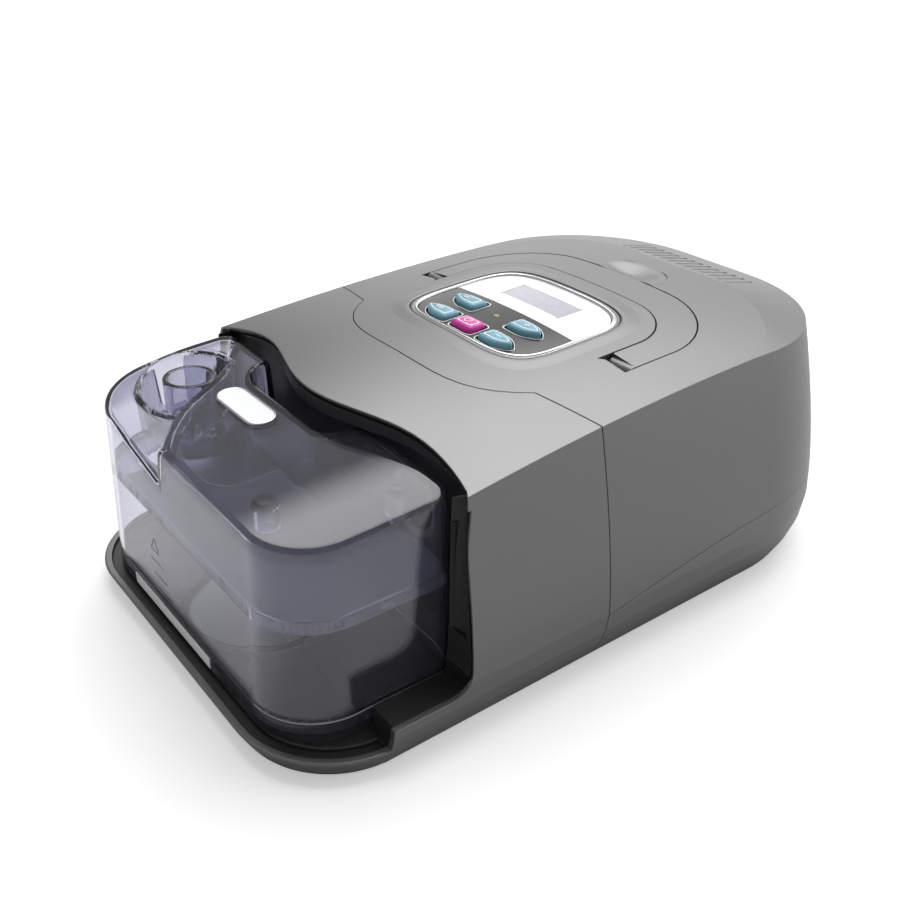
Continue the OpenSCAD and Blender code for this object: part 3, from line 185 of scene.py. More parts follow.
PAINT = lacquer("casing_lacquer", (0.156, 0.156, 0.158), (0.180, 0.180, 0.181))
LINER = moulded("liner_plastic", (0.012, 0.012, 0.011), 0.42)
SMOKE = smoky_clear("smoky_polycarbonate", (0.77, 0.77, 0.85))
SHELL_SMOKE = smoky_clear("shell_polycarbonate", (0.77, 0.77, 0.85), deck=(0.48, 0.48, 0.58))
TRAY_CLEAR = smoky_clear("tray_polycarbonate", (0.52, 0.53, 0.64), 0.86, 0.12)
TRAY_MILKY = smoky_clear("milky_polycarbonate", (0.46, 0.47, 0.58), 0.70, 0.2)
PORT_DARK = smoky_clear("dark_polycarbonate", (0.22, 0.22, 0.30), 0.85, 0.1)
CHROME = bright_metal("trim_chrome", (0.66, 0.67, 0.69), 0.24, 400.0, 0.01)
PRINT_WHITE = moulded("printed_white", (0.86, 0.87, 0.88), 0.4, 0.0, 800.0, 0.03, 0.03)
PRINT_GREY = moulded("printed_grey", (0.34, 0.34, 0.37), 0.4, 0.0, 800.0, 0.03, 0.03)
KEY_BLUE = moulded("key_silicone_blue", (0.145, 0.335, 0.42), 0.38, 0.0, 1500.0, 0.06, 0.05)
KEY_MAGENTA = moulded("key_silicone_magenta", (0.60, 0.03, 0.33), 0.36, 0.0, 1500.0, 0.06, 0.05)
BLACK_RUBBER = moulded("black_rubber", (0.014, 0.014, 0.014), 0.7, 0.0005, 700.0, 0.3)
FINISH = {
    "casing_grey": PAINT,
    "liner_dark": LINER,
    "smoky_clear": SMOKE,
    "silver_trim": CHROME,
    "label_dark": moulded("label_film_dark", (0.03, 0.03, 0.031), 0.2, 0.0002, 1500.0, 0.02, 0.04),
    "label_light": moulded("label_film_light", (0.82, 0.83, 0.84), 0.3, 0.0002, 1500.0, 0.02, 0.03),
    "lcd_glass": moulded("display_glass", (0.50, 0.49, 0.55), 0.12, 0.0002, 300.0, 0.01, 0.05),
    "lcd_case": bright_metal("display_case", (0.6, 0.61, 0.63)),
    "key_blue": KEY_BLUE,
    "key_magenta": KEY_MAGENTA,
    "silicone_grey": moulded("silicone_grey", (0.35, 0.35, 0.36), 0.5),
    "led_lens": moulded("lamp_lens", (0.28, 0.22, 0.12), 0.2),
    "board_green": moulded("solder_mask", (0.01, 0.11, 0.05), 0.35),
    "black_part": moulded("black_plastic", (0.016, 0.016, 0.017), 0.4),
    "blower_plastic": moulded("blower_plastic", (0.5, 0.5, 0.47), 0.45),
    "steel": bright_metal("plated_steel", (0.56, 0.56, 0.57)),
    "black_rubber": BLACK_RUBBER,
    "foam": moulded("open_foam", (0.04, 0.04, 0.042), 0.95, 0.0, 500.0, 1.0, 0.2),
    "filter_felt": moulded("filter_felt", (0.7, 0.7, 0.68), 0.95, 0.0, 700.0, 0.8, 0.15),
    "heater_metal": bright_metal("machined_plate", (0.6, 0.6, 0.61), 0.4, 900.0, 0.01),
    "heater_foil": bright_metal("heater_foil", (0.72, 0.38, 0.2)),
    "insulation": moulded("insulation_felt", (0.6, 0.57, 0.5), 0.95, 0.0, 600.0, 0.8, 0.15),
}


def finish_nodes():
    """Gives every node of the model the material of its slot, or its own."""
    own = {"splash_tray": TRAY_CLEAR}
    slot_of = {part["node"]: part["material_slot"] for part in frame["record"]["subparts"]}
    for name, node in NODES.items():
        node.data.materials.clear()
        node.data.materials.append(own.get(name, FINISH[slot_of[name]]))


# Sizes below are in millimetres from the seam between the humidifier and the main unit,
# with x across, y to the rear and z up, as in the part's source.

def smooth(t):
    """Rise from 0 to 1 while t goes from 0 to 1, level at both ends."""
    t = np.clip(t, 0.0, 1.0)
    return t * t * (3.0 - 2.0 * t)


def sheet(rows, columns, around=False):
    """Quads of a grid of points held row by row; around joins its last column to its first."""
    row, column = np.meshgrid(np.arange(rows - 1), np.arange(columns - (not around)),
                              indexing="ij")
    after = (column + 1) % columns
    return np.stack([row * columns + column, row * columns + after,
                     (row + 1) * columns + after, (row + 1) * columns + column],
                    axis=-1).reshape(-1, 4)


def border(rows, columns):
    """Places in a grid round its edge: along the first row, up the last column and back."""
    grid = np.arange(rows * columns).reshape(rows, columns)
    return np.concatenate([grid[0, :-1], grid[:-1, -1], grid[-1, :0:-1], grid[:0:-1, 0]])


def make_piece(name, points, faces, material, body, slot, *nodes, crease=40.0):
    """Mesh from points in millimetres, which rides on a body and may stand for nodes."""
    mesh = bpy.data.meshes.new(name)
    placed = np.asarray(points, dtype=float) * 0.001 + np.array([0.0, SEAM_Y, 0.0])
    mesh.from_pydata(placed.tolist(), [], [list(map(int, face)) for face in faces])
    mesh.materials.append(material)
    mesh.shade_smooth()
    mesh.set_sharp_from_angle(angle=math.radians(crease))
    piece = bpy.data.objects.new(name, mesh)
    bpy.context.collection.objects.link(piece)
    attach(piece, body)
    if nodes:
        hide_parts(*nodes)
    return piece


def turned(profile, centre, count=96):
    """Ring-shaped solid: a closed profile of radius and height carried round an upright axis."""
    angle = np.linspace(0.0, 2.0 * np.pi, count, endpoint=False)
    radius, height = np.asarray(profile, dtype=float).T
    points = np.stack([centre[0] + radius[:, None] * np.cos(angle),
                       centre[1] + radius[:, None] * np.sin(angle),
                       centre[2] + height[:, None] + 0.0 * angle], axis=-1).reshape(-1, 3)
    rows = len(profile)
    faces = sheet(rows + 1, count, True) % (rows * count)
    return points, faces


def rounded(corner_r, corner_z, radius, start, stop, steps=6):
    """Quarter round in a profile: points on a circle from one angle to another, in degrees."""
    angle = np.radians(np.linspace(start, stop, steps))
    return np.stack([corner_r + radius * np.cos(angle),
                     corner_z + radius * np.sin(angle)], axis=-1).tolist()


CREASE_X = 86.0  # half of the casing's width at the crease under the roof
ROOF_TOP = 112.6


def roof_height(x, y):
    """Height of the casing's roof: a crown across and a long arch from front to rear."""
    return 104.8 - (y - 115.0) ** 2 / 3032.0 + 7.8 * (1.0 - (x / CREASE_X) ** 2)


# Water chamber

WALL = 2.2
DRAFT = 0.038  # how far the walls lean in for each millimetre of height
FLOOR_Z = 10.4
SPLIT_Z = 18.8  # where the shell meets the chamber's base
FRONT_CORNER, FRONT_CORNER_R = (56.2, -103.8), 27.0
REAR_CORNER, REAR_CORNER_R = (71.2, -69.0), 12.0
OUTER_INSET = 5.2  # the top grid ends this far inside the outline, and a fillet goes on
OUTER_FILLET, INNER_FILLET = 2.8, 1.2
DECK_FADE = 6.0  # the deck's tint fades out over this height under the fillet's first row
PORT = np.array([-54.8, -93.4])  # middle of the outlet port in plan
NECK_R = 10.0
WELL_R = 19.7
WELL_FLOOR = 72.5
BEAD_H, BEAD_W = 0.9, 0.7
GAP_FLOOR = 63.0
# The low ramp: the point it is measured from, its rises per millimetre to the left, to the
# right and to the rear, its sag to the left, and the height over which it melts into the crest.
RAMP_AT = (-40.0, -128.0, 79.2)
RISE_LEFT, SAG_LEFT, RISE_RIGHT, RISE_REAR = 0.313, 0.00395, 0.18, 0.2
RAMP_MELT = 0.8
CREST_LIFT, CREST_X, CREST_RUN = 2.2, -55.0, 25.0
STEP_RUN, GAP_RUN, WELL_RUN = 1.8, 1.2, 0.7  # widths of the steep rises


def deck_height(x, y):
    """Height of the high deck: a gentle rise to the rear, and a soft fall to the right edge."""
    return 92.6 + 0.05 * (y + 60.0) - 1.5 * np.maximum((x - 35.0) / 40.0, 0.0) ** 2


def arc(centre, radius, start, stop, steps=24):
    """Points on a circle in plan, from one angle to another in degrees."""
    angle = np.radians(np.linspace(start, stop, steps))
    return np.stack([centre[0] + radius * np.cos(angle), centre[1] + radius * np.sin(angle)],
                    axis=-1)


def round_off(line, times=3):
    """Cuts the corners of a line: each pass puts points a quarter and three quarters along."""
    for _ in range(times):
        quarters = np.stack([0.75 * line[:-1] + 0.25 * line[1:],
                             0.25 * line[:-1] + 0.75 * line[1:]], axis=1)
        line = np.vstack([line[:1], quarters.reshape(-1, line.shape[1]), line[-1:]])
    return line


def step_line():
    """Plan line of the step between the decks: a long S with rounded corners."""
    return round_off(np.array([[-80.0, -60.0], [-66.0, -69.0], [-56.0, -77.0], [-46.5, -88.8],
                               [-38.0, -102.0], [-28.4, -112.9], [-17.0, -121.8],
                               [-7.0, -127.6], [-4.6, -133.0], [-4.4, -146.0]]))


def gap_line():
    """Plan line of the finger gap, with its inside on the left of the way along it."""
    return np.vstack([[[-49.2, -45.0]], arc((-29.7, -57.1), 18.8, 180, 270),
                      arc((14.2, -68.3), 7.6, 270, 360), arc((27.8, -63.0), 6.0, 180, 90),
                      [[27.8, -45.0]]])


def from_line(points, line):
    """Signed distance of plan points from a line, positive on its left, and the way left."""
    start, along = line[:-1], np.diff(line, axis=0)
    length = np.hypot(along[:, 0], along[:, 1])
    gap = points[..., None, :] - start
    share = np.clip((gap * along).sum(-1) / length ** 2, 0.0, 1.0)
    off = gap - share[..., None] * along
    nearest = np.argmin((off ** 2).sum(-1), axis=-1)
    way = np.stack([-along[:, 1], along[:, 0]], axis=-1) / length[:, None]
    picked = np.take_along_axis(off, nearest[..., None, None], axis=-2)[..., 0, :]
    left = way[nearest]
    side = np.sign((picked * left).sum(-1))
    side[side == 0] = 1.0
    return side * np.hypot(picked[..., 0], picked[..., 1]), left


def chamber_top(points, inner):
    """Height of the chamber's top: the high deck, the low ramp left of the step with the ring
    of the well, the well's floor and the finger gap's floor, each joined by a steep smooth
    rise. The inner side lies a wall's thickness under it and inside it."""
    x, y = points[..., 0], points[..., 1]
    grow = WALL if inner else 0.0
    high = deck_height(x, y)
    across, back = RAMP_AT[0] - x, y - RAMP_AT[1]
    low = RAMP_AT[2] + RISE_REAR * back + np.where(
        across > 0, RISE_LEFT * across - SAG_LEFT * across ** 2, RISE_RIGHT * across)
    crest = high + CREST_LIFT * smooth((CREST_X - x) / CREST_RUN)
    low = crest - RAMP_MELT * np.log(1.0 + np.exp((crest - low) / RAMP_MELT))
    ring = np.hypot(x - PORT[0], y - PORT[1]) - WELL_R - grow
    if not inner:
        low = low + BEAD_H * np.exp(-((ring - 1.0) / BEAD_W) ** 2)
    left = WELL_FLOOR + (low - WELL_FLOOR) * smooth(ring / WELL_RUN + 0.5)
    over_step, _ = from_line(points, STEP_LINE)
    height = left + (high - left) * smooth((over_step - grow) / STEP_RUN + 0.5)
    in_gap, _ = from_line(points, GAP_LINE)
    height = height + (GAP_FLOOR - height) * smooth((in_gap + grow) / GAP_RUN + 0.5)
    return height - grow


def draw_together(points, distance, way, reach, share, hold):
    """Moves plan points along way so that they lie closer together near distance zero."""
    near = np.abs(distance) < reach
    pull = np.where(near, distance * (1.0 - share) * (1.0 - np.abs(distance) / reach), 0.0)
    return points - pull[..., None] * way * hold


def chamber_plan(inset):
    """Plan grid inside the rounded outline at the inset, drawn together along the step, the
    well, the tube's neck and the finger gap. Its last row and column lie on the outline."""
    front_r, rear_r = FRONT_CORNER_R - inset, REAR_CORNER_R - inset
    half = FRONT_CORNER[0]
    corner = half + front_r * np.sin(np.linspace(0.0, np.pi / 2, 25))
    x = np.concatenate([-corner[::-1], np.linspace(-half, half, 151)[1:-1], corner])
    beyond = np.maximum(np.abs(x) - half, 0.0)
    front = FRONT_CORNER[1] - np.sqrt(np.maximum(front_r ** 2 - beyond ** 2, 0.0))
    beyond = np.maximum(np.abs(x) - REAR_CORNER[0], 0.0)
    rear = REAR_CORNER[1] + np.sqrt(np.maximum(rear_r ** 2 - beyond ** 2, 0.0))
    share = np.linspace(0.0, 1.0, 90)[:, None]
    points = np.stack([x + 0.0 * share, front + share * (rear - front)], axis=-1)
    hold = np.stack([np.clip((x.max() - np.abs(x)) / 4.0, 0.0, 1.0) + 0.0 * share,
                     np.clip(np.minimum(points[..., 1] - front, rear - points[..., 1]) / 4.0,
                             0.0, 1.0)], axis=-1)
    grow = inset - OUTER_INSET
    for line, sign in ((STEP_LINE, 1.0), (GAP_LINE, -1.0)):
        distance, way = from_line(points, line)
        points = draw_together(points, distance - sign * grow, way, 4.5, 0.22, hold)
    for radius, reach in ((WELL_R + grow, 4.0), (NECK_R, 2.4)):
        way = points - PORT
        distance = np.hypot(way[..., 0], way[..., 1])
        way = way / distance[..., None]
        points = draw_together(points, distance - radius, way, reach, 0.25, hold)
    return points


def outline_ways(edge):
    """Outward way at each plan point of the outline, square to its straights and corners."""
    x, y = edge[:, 0], edge[:, 1]
    front = np.stack([np.sign(x) * np.maximum(np.abs(x) - FRONT_CORNER[0], 0.0),
                      np.minimum(y - FRONT_CORNER[1], -1e-9)], axis=-1)
    rear = np.stack([np.sign(x) * np.maximum(np.abs(x) - REAR_CORNER[0], 0.0),
                     np.maximum(y - REAR_CORNER[1], 1e-9)], axis=-1)
    side = np.stack([np.sign(x), 0.0 * x], axis=-1)
    ahead, behind = y < FRONT_CORNER[1] + 0.01, y > REAR_CORNER[1] - 0.01
    way = np.where(ahead[:, None], front, np.where(behind[:, None], rear, side))
    return way / np.hypot(way[:, 0], way[:, 1])[:, None]


STEP_LINE = step_line()
GAP_LINE = gap_line()


def chamber_skin(inner):
    """One side of the shell: its top grid, then rows down a fillet and the drafted wall."""
    wall, fillet = (WALL, INNER_FILLET) if inner else (0.0, OUTER_FILLET)
    inset = OUTER_INSET + wall
    plan = chamber_plan(inset)
    rows, columns = plan.shape[:2]
    height = chamber_top(plan, inner)
    top = np.concatenate([plan, height[..., None]], axis=-1).reshape(-1, 3)
    rim = top[border(rows, columns)]
    way = outline_ways(rim[:, :2])
    turn = np.linspace(0.0, np.pi / 2, 8)[1:, None]
    run = inset - wall - DRAFT * (rim[:, 2] - fillet - FLOOR_Z)
    drop = rim[:, 2] - fillet * (1.0 - np.cos(turn))
    out = run * np.sin(turn)
    down = np.linspace(0.0, 1.0, 15)[1:, None]
    wall_z = (rim[:, 2] - fillet) * (1.0 - down) + SPLIT_Z * down
    wall_out = inset - wall - DRAFT * (wall_z - FLOOR_Z)
    z = np.vstack([drop, wall_z])
    out = np.vstack([out, wall_out])
    skirt = np.concatenate([rim[:, :2] + out[..., None] * way, z[..., None]], axis=-1)
    return top, skirt, rows, columns


def hole_edges(open_cell):
    """Edges of a grid round its open cells, each in the way that the wall of the hole needs."""
    hole = open_cell.astype(int)
    rows, columns = hole.shape[0] + 1, hole.shape[1] + 1
    grid = np.arange(rows * columns).reshape(rows, columns)
    edges = []
    for axis, near, far in ((1, (0, 1), (1, 1)), (0, (1, 1), (1, 0))):
        change = np.diff(hole, axis=axis)
        row, column = np.nonzero(change)
        ends = np.stack([grid[row + near[0], column + near[1]],
                         grid[row + far[0], column + far[1]]], axis=-1)
        opens = (change[row, column] > 0)[:, None]
        edges.append(np.where(opens, ends, ends[:, ::-1]))
    return np.vstack(edges)


def make_chamber_shell():
    """Clear shell of the chamber as one closed wall, with the hole for the tube's neck."""
    points, faces, ends, starts, shares = [], [], [], [], []
    start = 0
    for inner in (False, True):
        top, skirt, rows, columns = chamber_skin(inner)
        quads = sheet(rows, columns)
        if not inner:
            middle = top[quads, :2].mean(axis=1) - PORT
            open_cell = np.hypot(middle[:, 0], middle[:, 1]) < NECK_R
        quads = quads[~open_cell] + start
        loop = border(rows, columns)
        below_top = np.arange(skirt.shape[0] * len(loop)).reshape(-1, len(loop))
        ring_rows = start + np.vstack([loop, len(top) + below_top])
        upper, lower = ring_rows[:-1], ring_rows[1:]
        walls = np.stack([upper, lower, np.roll(lower, -1, axis=1), np.roll(upper, -1, axis=1)],
                         axis=-1).reshape(-1, 4)
        both = np.vstack([quads, walls])
        faces.append(both[:, ::-1] if inner else both)
        points += [top, skirt.reshape(-1, 3)]
        drop = skirt[0, :, 2] - skirt[..., 2]
        shares += [np.ones(len(top)), np.clip(1.0 - drop / DECK_FADE, 0.0, 1.0).ravel()]
        ends.append(ring_rows[-1])
        starts.append(start)
        start += len(top) + below_top.size
    outer_end, inner_end = ends
    faces.append(np.stack([outer_end, inner_end, np.roll(inner_end, -1),
                           np.roll(outer_end, -1)], axis=-1))
    edges = hole_edges(open_cell.reshape(rows - 1, columns - 1))
    faces.append(np.hstack([edges[:, ::-1], edges + starts[1]]))
    shell = make_piece("clear_chamber_shell", np.vstack(points), np.vstack(faces), SHELL_SMOKE,
                       "water_chamber", "smoky_clear", "chamber_shell", crease=75.0)
    share = shell.data.attributes.new("deck_share", "FLOAT", "POINT")
    share.data.foreach_set("value", np.concatenate(shares).astype(np.float32))


def make_outlet_tube():
    """Port tube with a rolled rim and a neck through the well's floor."""
    profile = ([[8.9, 66.5], [9.8, 66.5], [9.9, 72.2], [10.9, 72.6], [11.0, 73.2]]
               + [[10.95, z] for z in np.linspace(76.0, 88.0, 5)]
               + rounded(10.15, 90.8, 0.8, 0, 90) + rounded(9.5, 90.8, 0.8, 90, 180)
               + [[8.75, z] for z in np.linspace(88.0, 70.0, 5)])
    points, faces = turned(profile, (*PORT, 0.0))
    make_piece("clear_outlet_tube", points, faces, SMOKE, "water_chamber", "smoky_clear",
               "outlet_tube", crease=60.0)


def make_port_guide():
    """Dark air guide under the well: a tapered ring that hangs from a thin collar."""
    profile = ([[NECK_R + 1.0, 69.8], [17.6, 69.8], [18.4, 69.0]]
               + [[18.4 - 0.14 * (69.0 - z), z] for z in (66.0, 63.0, 60.8)]
               + [[16.0, 60.8], [16.6, 63.0], [16.9, 68.4], [NECK_R + 1.0, 68.4]])
    points, faces = turned(profile, (*PORT, 0.0))
    make_piece("port_air_guide", points, faces, PORT_DARK, "water_chamber", "smoky_clear")


BOSS_PLACES = ((44.0, -113.0), (64.0, -73.0))
BOSS_GAP = 0.4


def make_bosses():
    """Two clear sleeves under the deck, each with a dark ring round its top."""
    rings, ring_faces, sleeves, sleeve_faces = [], [], [], []
    for index, (x, y) in enumerate(BOSS_PLACES):
        top = float(deck_height(x, y)) - WALL - BOSS_GAP
        ring = [[3.5 + 1.5 * math.cos(a), 0.8 * math.sin(a)]
                for a in np.linspace(0.0, 2.0 * math.pi, 16, endpoint=False)]
        points, quads = turned(ring, (x, y, top - 0.5), 48)
        rings.append(points)
        ring_faces.append(quads + index * len(points))
        sleeve = [[3.2, -9.5], [4.8, -9.5], [5.0, -1.6], [3.0, -1.6]]
        points, quads = turned(sleeve, (x, y, top), 48)
        sleeves.append(points)
        sleeve_faces.append(quads + index * len(points))
    make_piece("boss_rings", np.vstack(rings), np.vstack(ring_faces), BLACK_RUBBER,
               "water_chamber", "silicone_grey", "boss_seals")
    make_piece("boss_sleeves", np.vstack(sleeves), np.vstack(sleeve_faces), SMOKE,
               "water_chamber", "smoky_clear")


# Line of the baffle's top edge on the splash tray, from the front left to the rear right.
BAFFLE = round_off(np.array([[-46.8, -105.8, 61.0], [-32.0, -106.5, 60.8], [-17.4, -105.5, 60.6],
                             [-10.3, -95.7, 61.0], [-2.9, -81.4, 68.0], [-2.5, -80.2, 62.5],
                             [7.8, -77.1, 60.6], [10.8, -71.7, 60.6], [9.4, -61.8, 60.6]]))
BAFFLE_FOOT = 55.5
SHELF_TOP, SHELF_UNDER = 60.5, 59.7
SHELF_INSET = 4.6  # how far the shelf ends inside the chamber's outline


def make_baffle():
    """Low wall on the splash tray: a section of changing height, with a rounded top, carried
    along a line. Each corner of the section has a way off the line and a share of the height."""
    along = np.gradient(BAFFLE[:, :2], axis=0)
    along = along / np.hypot(along[:, 0], along[:, 1])[:, None]
    side = np.stack([-along[:, 1], along[:, 0]], axis=-1)
    rows = []
    for off, lift in ((-0.7, 0.0), (0.7, 0.0), (0.7, 0.9), (0.3, 1.0), (-0.3, 1.0), (-0.7, 0.9)):
        rows.append(np.column_stack([BAFFLE[:, :2] + off * side,
                                     BAFFLE_FOOT + lift * (BAFFLE[:, 2] - BAFFLE_FOOT)]))
    points = np.stack(rows, axis=1).reshape(-1, 3)
    count = len(BAFFLE)
    faces = sheet(count, 6, True)[:, ::-1].tolist()
    faces.append(list(range(6)))
    faces.append([6 * (count - 1) + i for i in range(6)][::-1])
    make_piece("tray_baffle", points, faces, TRAY_MILKY, "water_chamber", "smoky_clear")


def even_steps(line, count):
    """Points at even distances along a plan line."""
    length = np.concatenate([[0.0], np.cumsum(np.hypot(*np.diff(line, axis=0).T))])
    at = np.linspace(0.0, length[-1], count)
    return np.stack([np.interp(at, length, line[:, 0]), np.interp(at, length, line[:, 1])],
                    axis=-1)


def make_shelf():
    """Milky shelf of the tray: straight rules from the baffle to the chamber's wall."""
    rows, columns = 24, 120
    front_r, rear_r = FRONT_CORNER_R - SHELF_INSET, REAR_CORNER_R - SHELF_INSET
    outline = np.vstack([[[-46.8, FRONT_CORNER[1] - front_r]],
                         arc(FRONT_CORNER, front_r, 270, 360),
                         arc(REAR_CORNER, rear_r, 0, 90), [[9.6, REAR_CORNER[1] + rear_r]]])
    near, far = even_steps(BAFFLE[:, :2], columns), even_steps(outline, columns)
    share = np.linspace(0.0, 1.0, rows)[:, None, None]
    plan = (near + share * (far - near)).reshape(-1, 2)
    top = np.column_stack([plan, np.full(len(plan), SHELF_TOP)])
    under = np.column_stack([plan, np.full(len(plan), SHELF_UNDER)])
    quads = sheet(rows, columns)
    loop = border(rows, columns)
    after = np.roll(loop, -1)
    walls = np.stack([loop, after, after + len(plan), loop + len(plan)], axis=-1)
    make_piece("tray_shelf", np.vstack([top, under]),
               np.vstack([quads[:, ::-1], quads + len(plan), walls]), TRAY_MILKY,
               "water_chamber", "smoky_clear")


def band(inside, outside):
    """Closed strip between two rings of points that have the same count."""
    count = len(inside)
    index = np.arange(count)
    after = (index + 1) % count
    return (np.vstack([inside, outside]),
            np.stack([index, index + count, after + count, after], axis=-1))


def strokes(lines, width, height):
    """Flat strokes on a surface: each line of plan points gets a width; height gives z."""
    points, faces, start = [], [], 0
    for line in lines:
        line = np.asarray(line, dtype=float)
        along = np.gradient(line, axis=0)
        along = along / np.hypot(along[:, 0], along[:, 1])[:, None]
        side = np.stack([-along[:, 1], along[:, 0]], axis=-1) * width / 2.0
        both = np.vstack([line - side, line + side])
        points.append(np.column_stack([both, height(both[:, 0], both[:, 1])]))
        count = len(line)
        index = np.arange(count - 1)
        faces.append(start + np.stack([index, index + 1, index + 1 + count, index + count],
                                      axis=-1))
        start += 2 * count
    return np.vstack(points), np.vstack(faces)


def pill(half_x, half_y, count=72):
    """Outline of a pill: two half circles of radius half_y and straights between them."""
    angle = np.linspace(0.0, 2.0 * np.pi, count, endpoint=False)
    straight = half_x - half_y
    return np.stack([straight * np.clip(np.sign(np.cos(angle)), -1, 1)
                     + half_y * np.cos(angle), half_y * np.sin(angle)], axis=-1)


BADGE_AT = np.array([-17.5, -87.5])
BADGE_HALF = (16.9, 5.9)
RIM_R = 0.55
MARK_LIFT = 0.06


def make_badge_rim():
    """Bright rim round the blank badge: a small round section carried round a pill."""
    rows = []
    for angle in np.linspace(0.0, 2.0 * np.pi, 12, endpoint=False):
        out = RIM_R * math.cos(angle)
        ring = pill(BADGE_HALF[0] + out, BADGE_HALF[1] + out) + BADGE_AT
        rows.append(np.column_stack([ring, deck_height(ring[:, 0], ring[:, 1]) + 0.25
                                     + RIM_R * math.sin(angle)]))
    points = np.vstack(rows)
    faces = sheet(len(rows) + 1, len(rows[0]), True) % len(points)
    make_piece("badge_rim", points, faces, CHROME, "water_chamber", "silver_trim")


def make_level_marks():
    """Blank level marks printed on the front wall: a triangle and four short lines."""
    triangle = [(-24.5, 39.0), (-21.0, 45.0), (-17.5, 39.0), (-24.5, 39.0)]
    marks = [[(-26.0 + 2.6 * i, 34.0 - 6.0 * i), (-14.0 + 2.6 * i, 34.0 - 6.0 * i)]
             for i in range(4)]
    lines = [[a, b] for a, b in zip(triangle[:-1], triangle[1:])] + marks
    flat, faces = strokes(lines, 0.35, lambda x, z: 0.0 * x)
    x, z = flat[:, 0], flat[:, 1]
    wall_y = FRONT_CORNER[1] - FRONT_CORNER_R + DRAFT * (z - FLOOR_Z)
    points = np.stack([x, wall_y - MARK_LIFT, z], axis=-1)
    make_piece("level_marks", points, faces, BLACK_RUBBER, "water_chamber", "silicone_grey")


# Humidifier cover

# The side bulges this far beyond the crease, at this height, and fades out over this run.
BULGE, BULGE_Z, BULGE_RUN = 14.2, 25.0, 79.5
CORNER_EDGE_Y = -60.6  # where the cover's front edge crosses the crease
SIDE_LEAN = ((29.2, 75.0, 92.0, 104.0), (-66.3, -64.9, -63.0, -61.0))
CHEEK_LOW, CHEEK_HIGH = 31.0, 93.0
LINER_EDGE = (84.5, -65.7)  # front edge of the liner's side in plan
CHEEK_T = 1.2


def side_swell(z):
    """Bulge of the casing's side beyond its crease at a height above its widest place."""
    return BULGE * (1.0 - np.maximum((z - BULGE_Z) / BULGE_RUN, 0.0) ** 1.45)


def side_edge(z):
    """Front edge of the cover at its sides, which leans back towards the roof and meets the
    roof's own edge there."""
    return np.maximum(np.interp(z, *SIDE_LEAN), CORNER_EDGE_Y - 0.6 * side_swell(z))


def make_cheeks():
    """Dark cheeks that close the space beside the liner: straight rules from the liner's
    front edge to the cover's edge, hollowed by a sine of the way across."""
    rows, columns = 40, 12
    z = np.linspace(CHEEK_LOW, CHEEK_HIGH, rows)[:, None]
    share = np.linspace(0.0, 1.0, columns)[None, :]
    near_x, near_y = LINER_EDGE
    far_x, far_y = CREASE_X + side_swell(z) - 2.2, side_edge(z) + 1.4
    x = near_x + share * (far_x - near_x)
    y = near_y + share * (far_y - near_y) + 1.2 * np.sin(np.pi * share)
    front = np.stack([x, y, z + 0.0 * share], axis=-1).reshape(-1, 3)
    back = front + np.array([0.0, CHEEK_T, 0.0])
    quads, loop, count = sheet(rows, columns), border(rows, columns), len(front)
    after = np.roll(loop, -1)
    faces = np.vstack([quads, quads[:, ::-1] + count,
                       np.stack([after, loop, loop + count, after + count], axis=-1)])
    right = np.vstack([front, back])
    points = np.vstack([right, right * np.array([-1.0, 1.0, 1.0])])
    faces = np.vstack([faces, faces[:, ::-1] + len(right)])
    make_piece("liner_cheeks", points, faces, BLACK_RUBBER, "machine", "liner_dark", crease=60.0)


# Control panel

# The panel's outline: half width, half length, y of its middle, and power of the curve.
PANEL = (41.0, 34.6, 31.7, 4.2)
LABEL_DEPTH = 0.6
LCD_AT, LCD_HALF = np.array([0.0, 47.4]), np.array([18.2, 6.6])


def panel_line(shrink, count=240):
    """Superellipse outline of the panel, drawn in by shrink."""
    angle = np.linspace(0.0, 2.0 * np.pi, count, endpoint=False)
    half_x, half_y, middle, power = PANEL
    return np.stack([(half_x - shrink) * np.sign(np.cos(angle))
                     * np.abs(np.cos(angle)) ** (2.0 / power),
                     middle + (half_y - shrink) * np.sign(np.sin(angle))
                     * np.abs(np.sin(angle)) ** (2.0 / power)], axis=-1)


def panel_sweep(section):
    """Closed section of shrink and height over the roof, carried round the panel's outline."""
    rows = []
    for shrink, lift in section:
        line = panel_line(shrink)
        rows.append(np.column_stack([line, roof_height(line[:, 0], line[:, 1]) + lift]))
    points = np.vstack(rows)
    return points, sheet(len(rows) + 1, len(rows[0]), True)[:, ::-1] % len(points)


PAINTED_ROWS = 5  # of the trim's section, counted from its outside


def make_trim():
    """Trim with a painted outside and a rolled chrome lip, and the casing's soft shoulder."""
    section = [[0.2, -3.3], [0.2, -0.15], [0.4, 0.02], [0.8, 0.05], [1.2, -0.05], [1.4, -0.3],
               [1.6, -0.3], [1.75, 0.1], [2.0, 0.34], [2.3, 0.4], [2.6, 0.32], [2.85, 0.05],
               [3.05, -0.5], [3.1, -3.3]]
    points, faces = panel_sweep(section)
    trim = make_piece("chrome_trim", points, faces, CHROME, "machine", "silver_trim",
                      "panel_bezel", crease=80.0)
    trim.data.materials.append(PAINT)
    row = np.arange(len(faces)) // (len(faces) // len(section))
    trim.data.polygons.foreach_set("material_index", (row < PAINTED_ROWS).astype(np.int32))
    shoulder = [[-7.0, -0.3], [-7.0, 0.0], [-5.5, 0.10], [-4.0, 0.26], [-2.6, 0.42],
                [-1.4, 0.5], [-0.5, 0.42], [-0.05, 0.1], [-0.05, -0.3]]
    points, faces = panel_sweep(shoulder)
    make_piece("panel_shoulder", points, faces, PAINT, "machine", "casing_grey", crease=80.0)


# The scoop's dish: x and y of its middle, half its width and length, and its depth.
SCOOP = (0.0, 103.1, 18.9, 10.9, 2.6)
HANDLE_REAR = 97.35


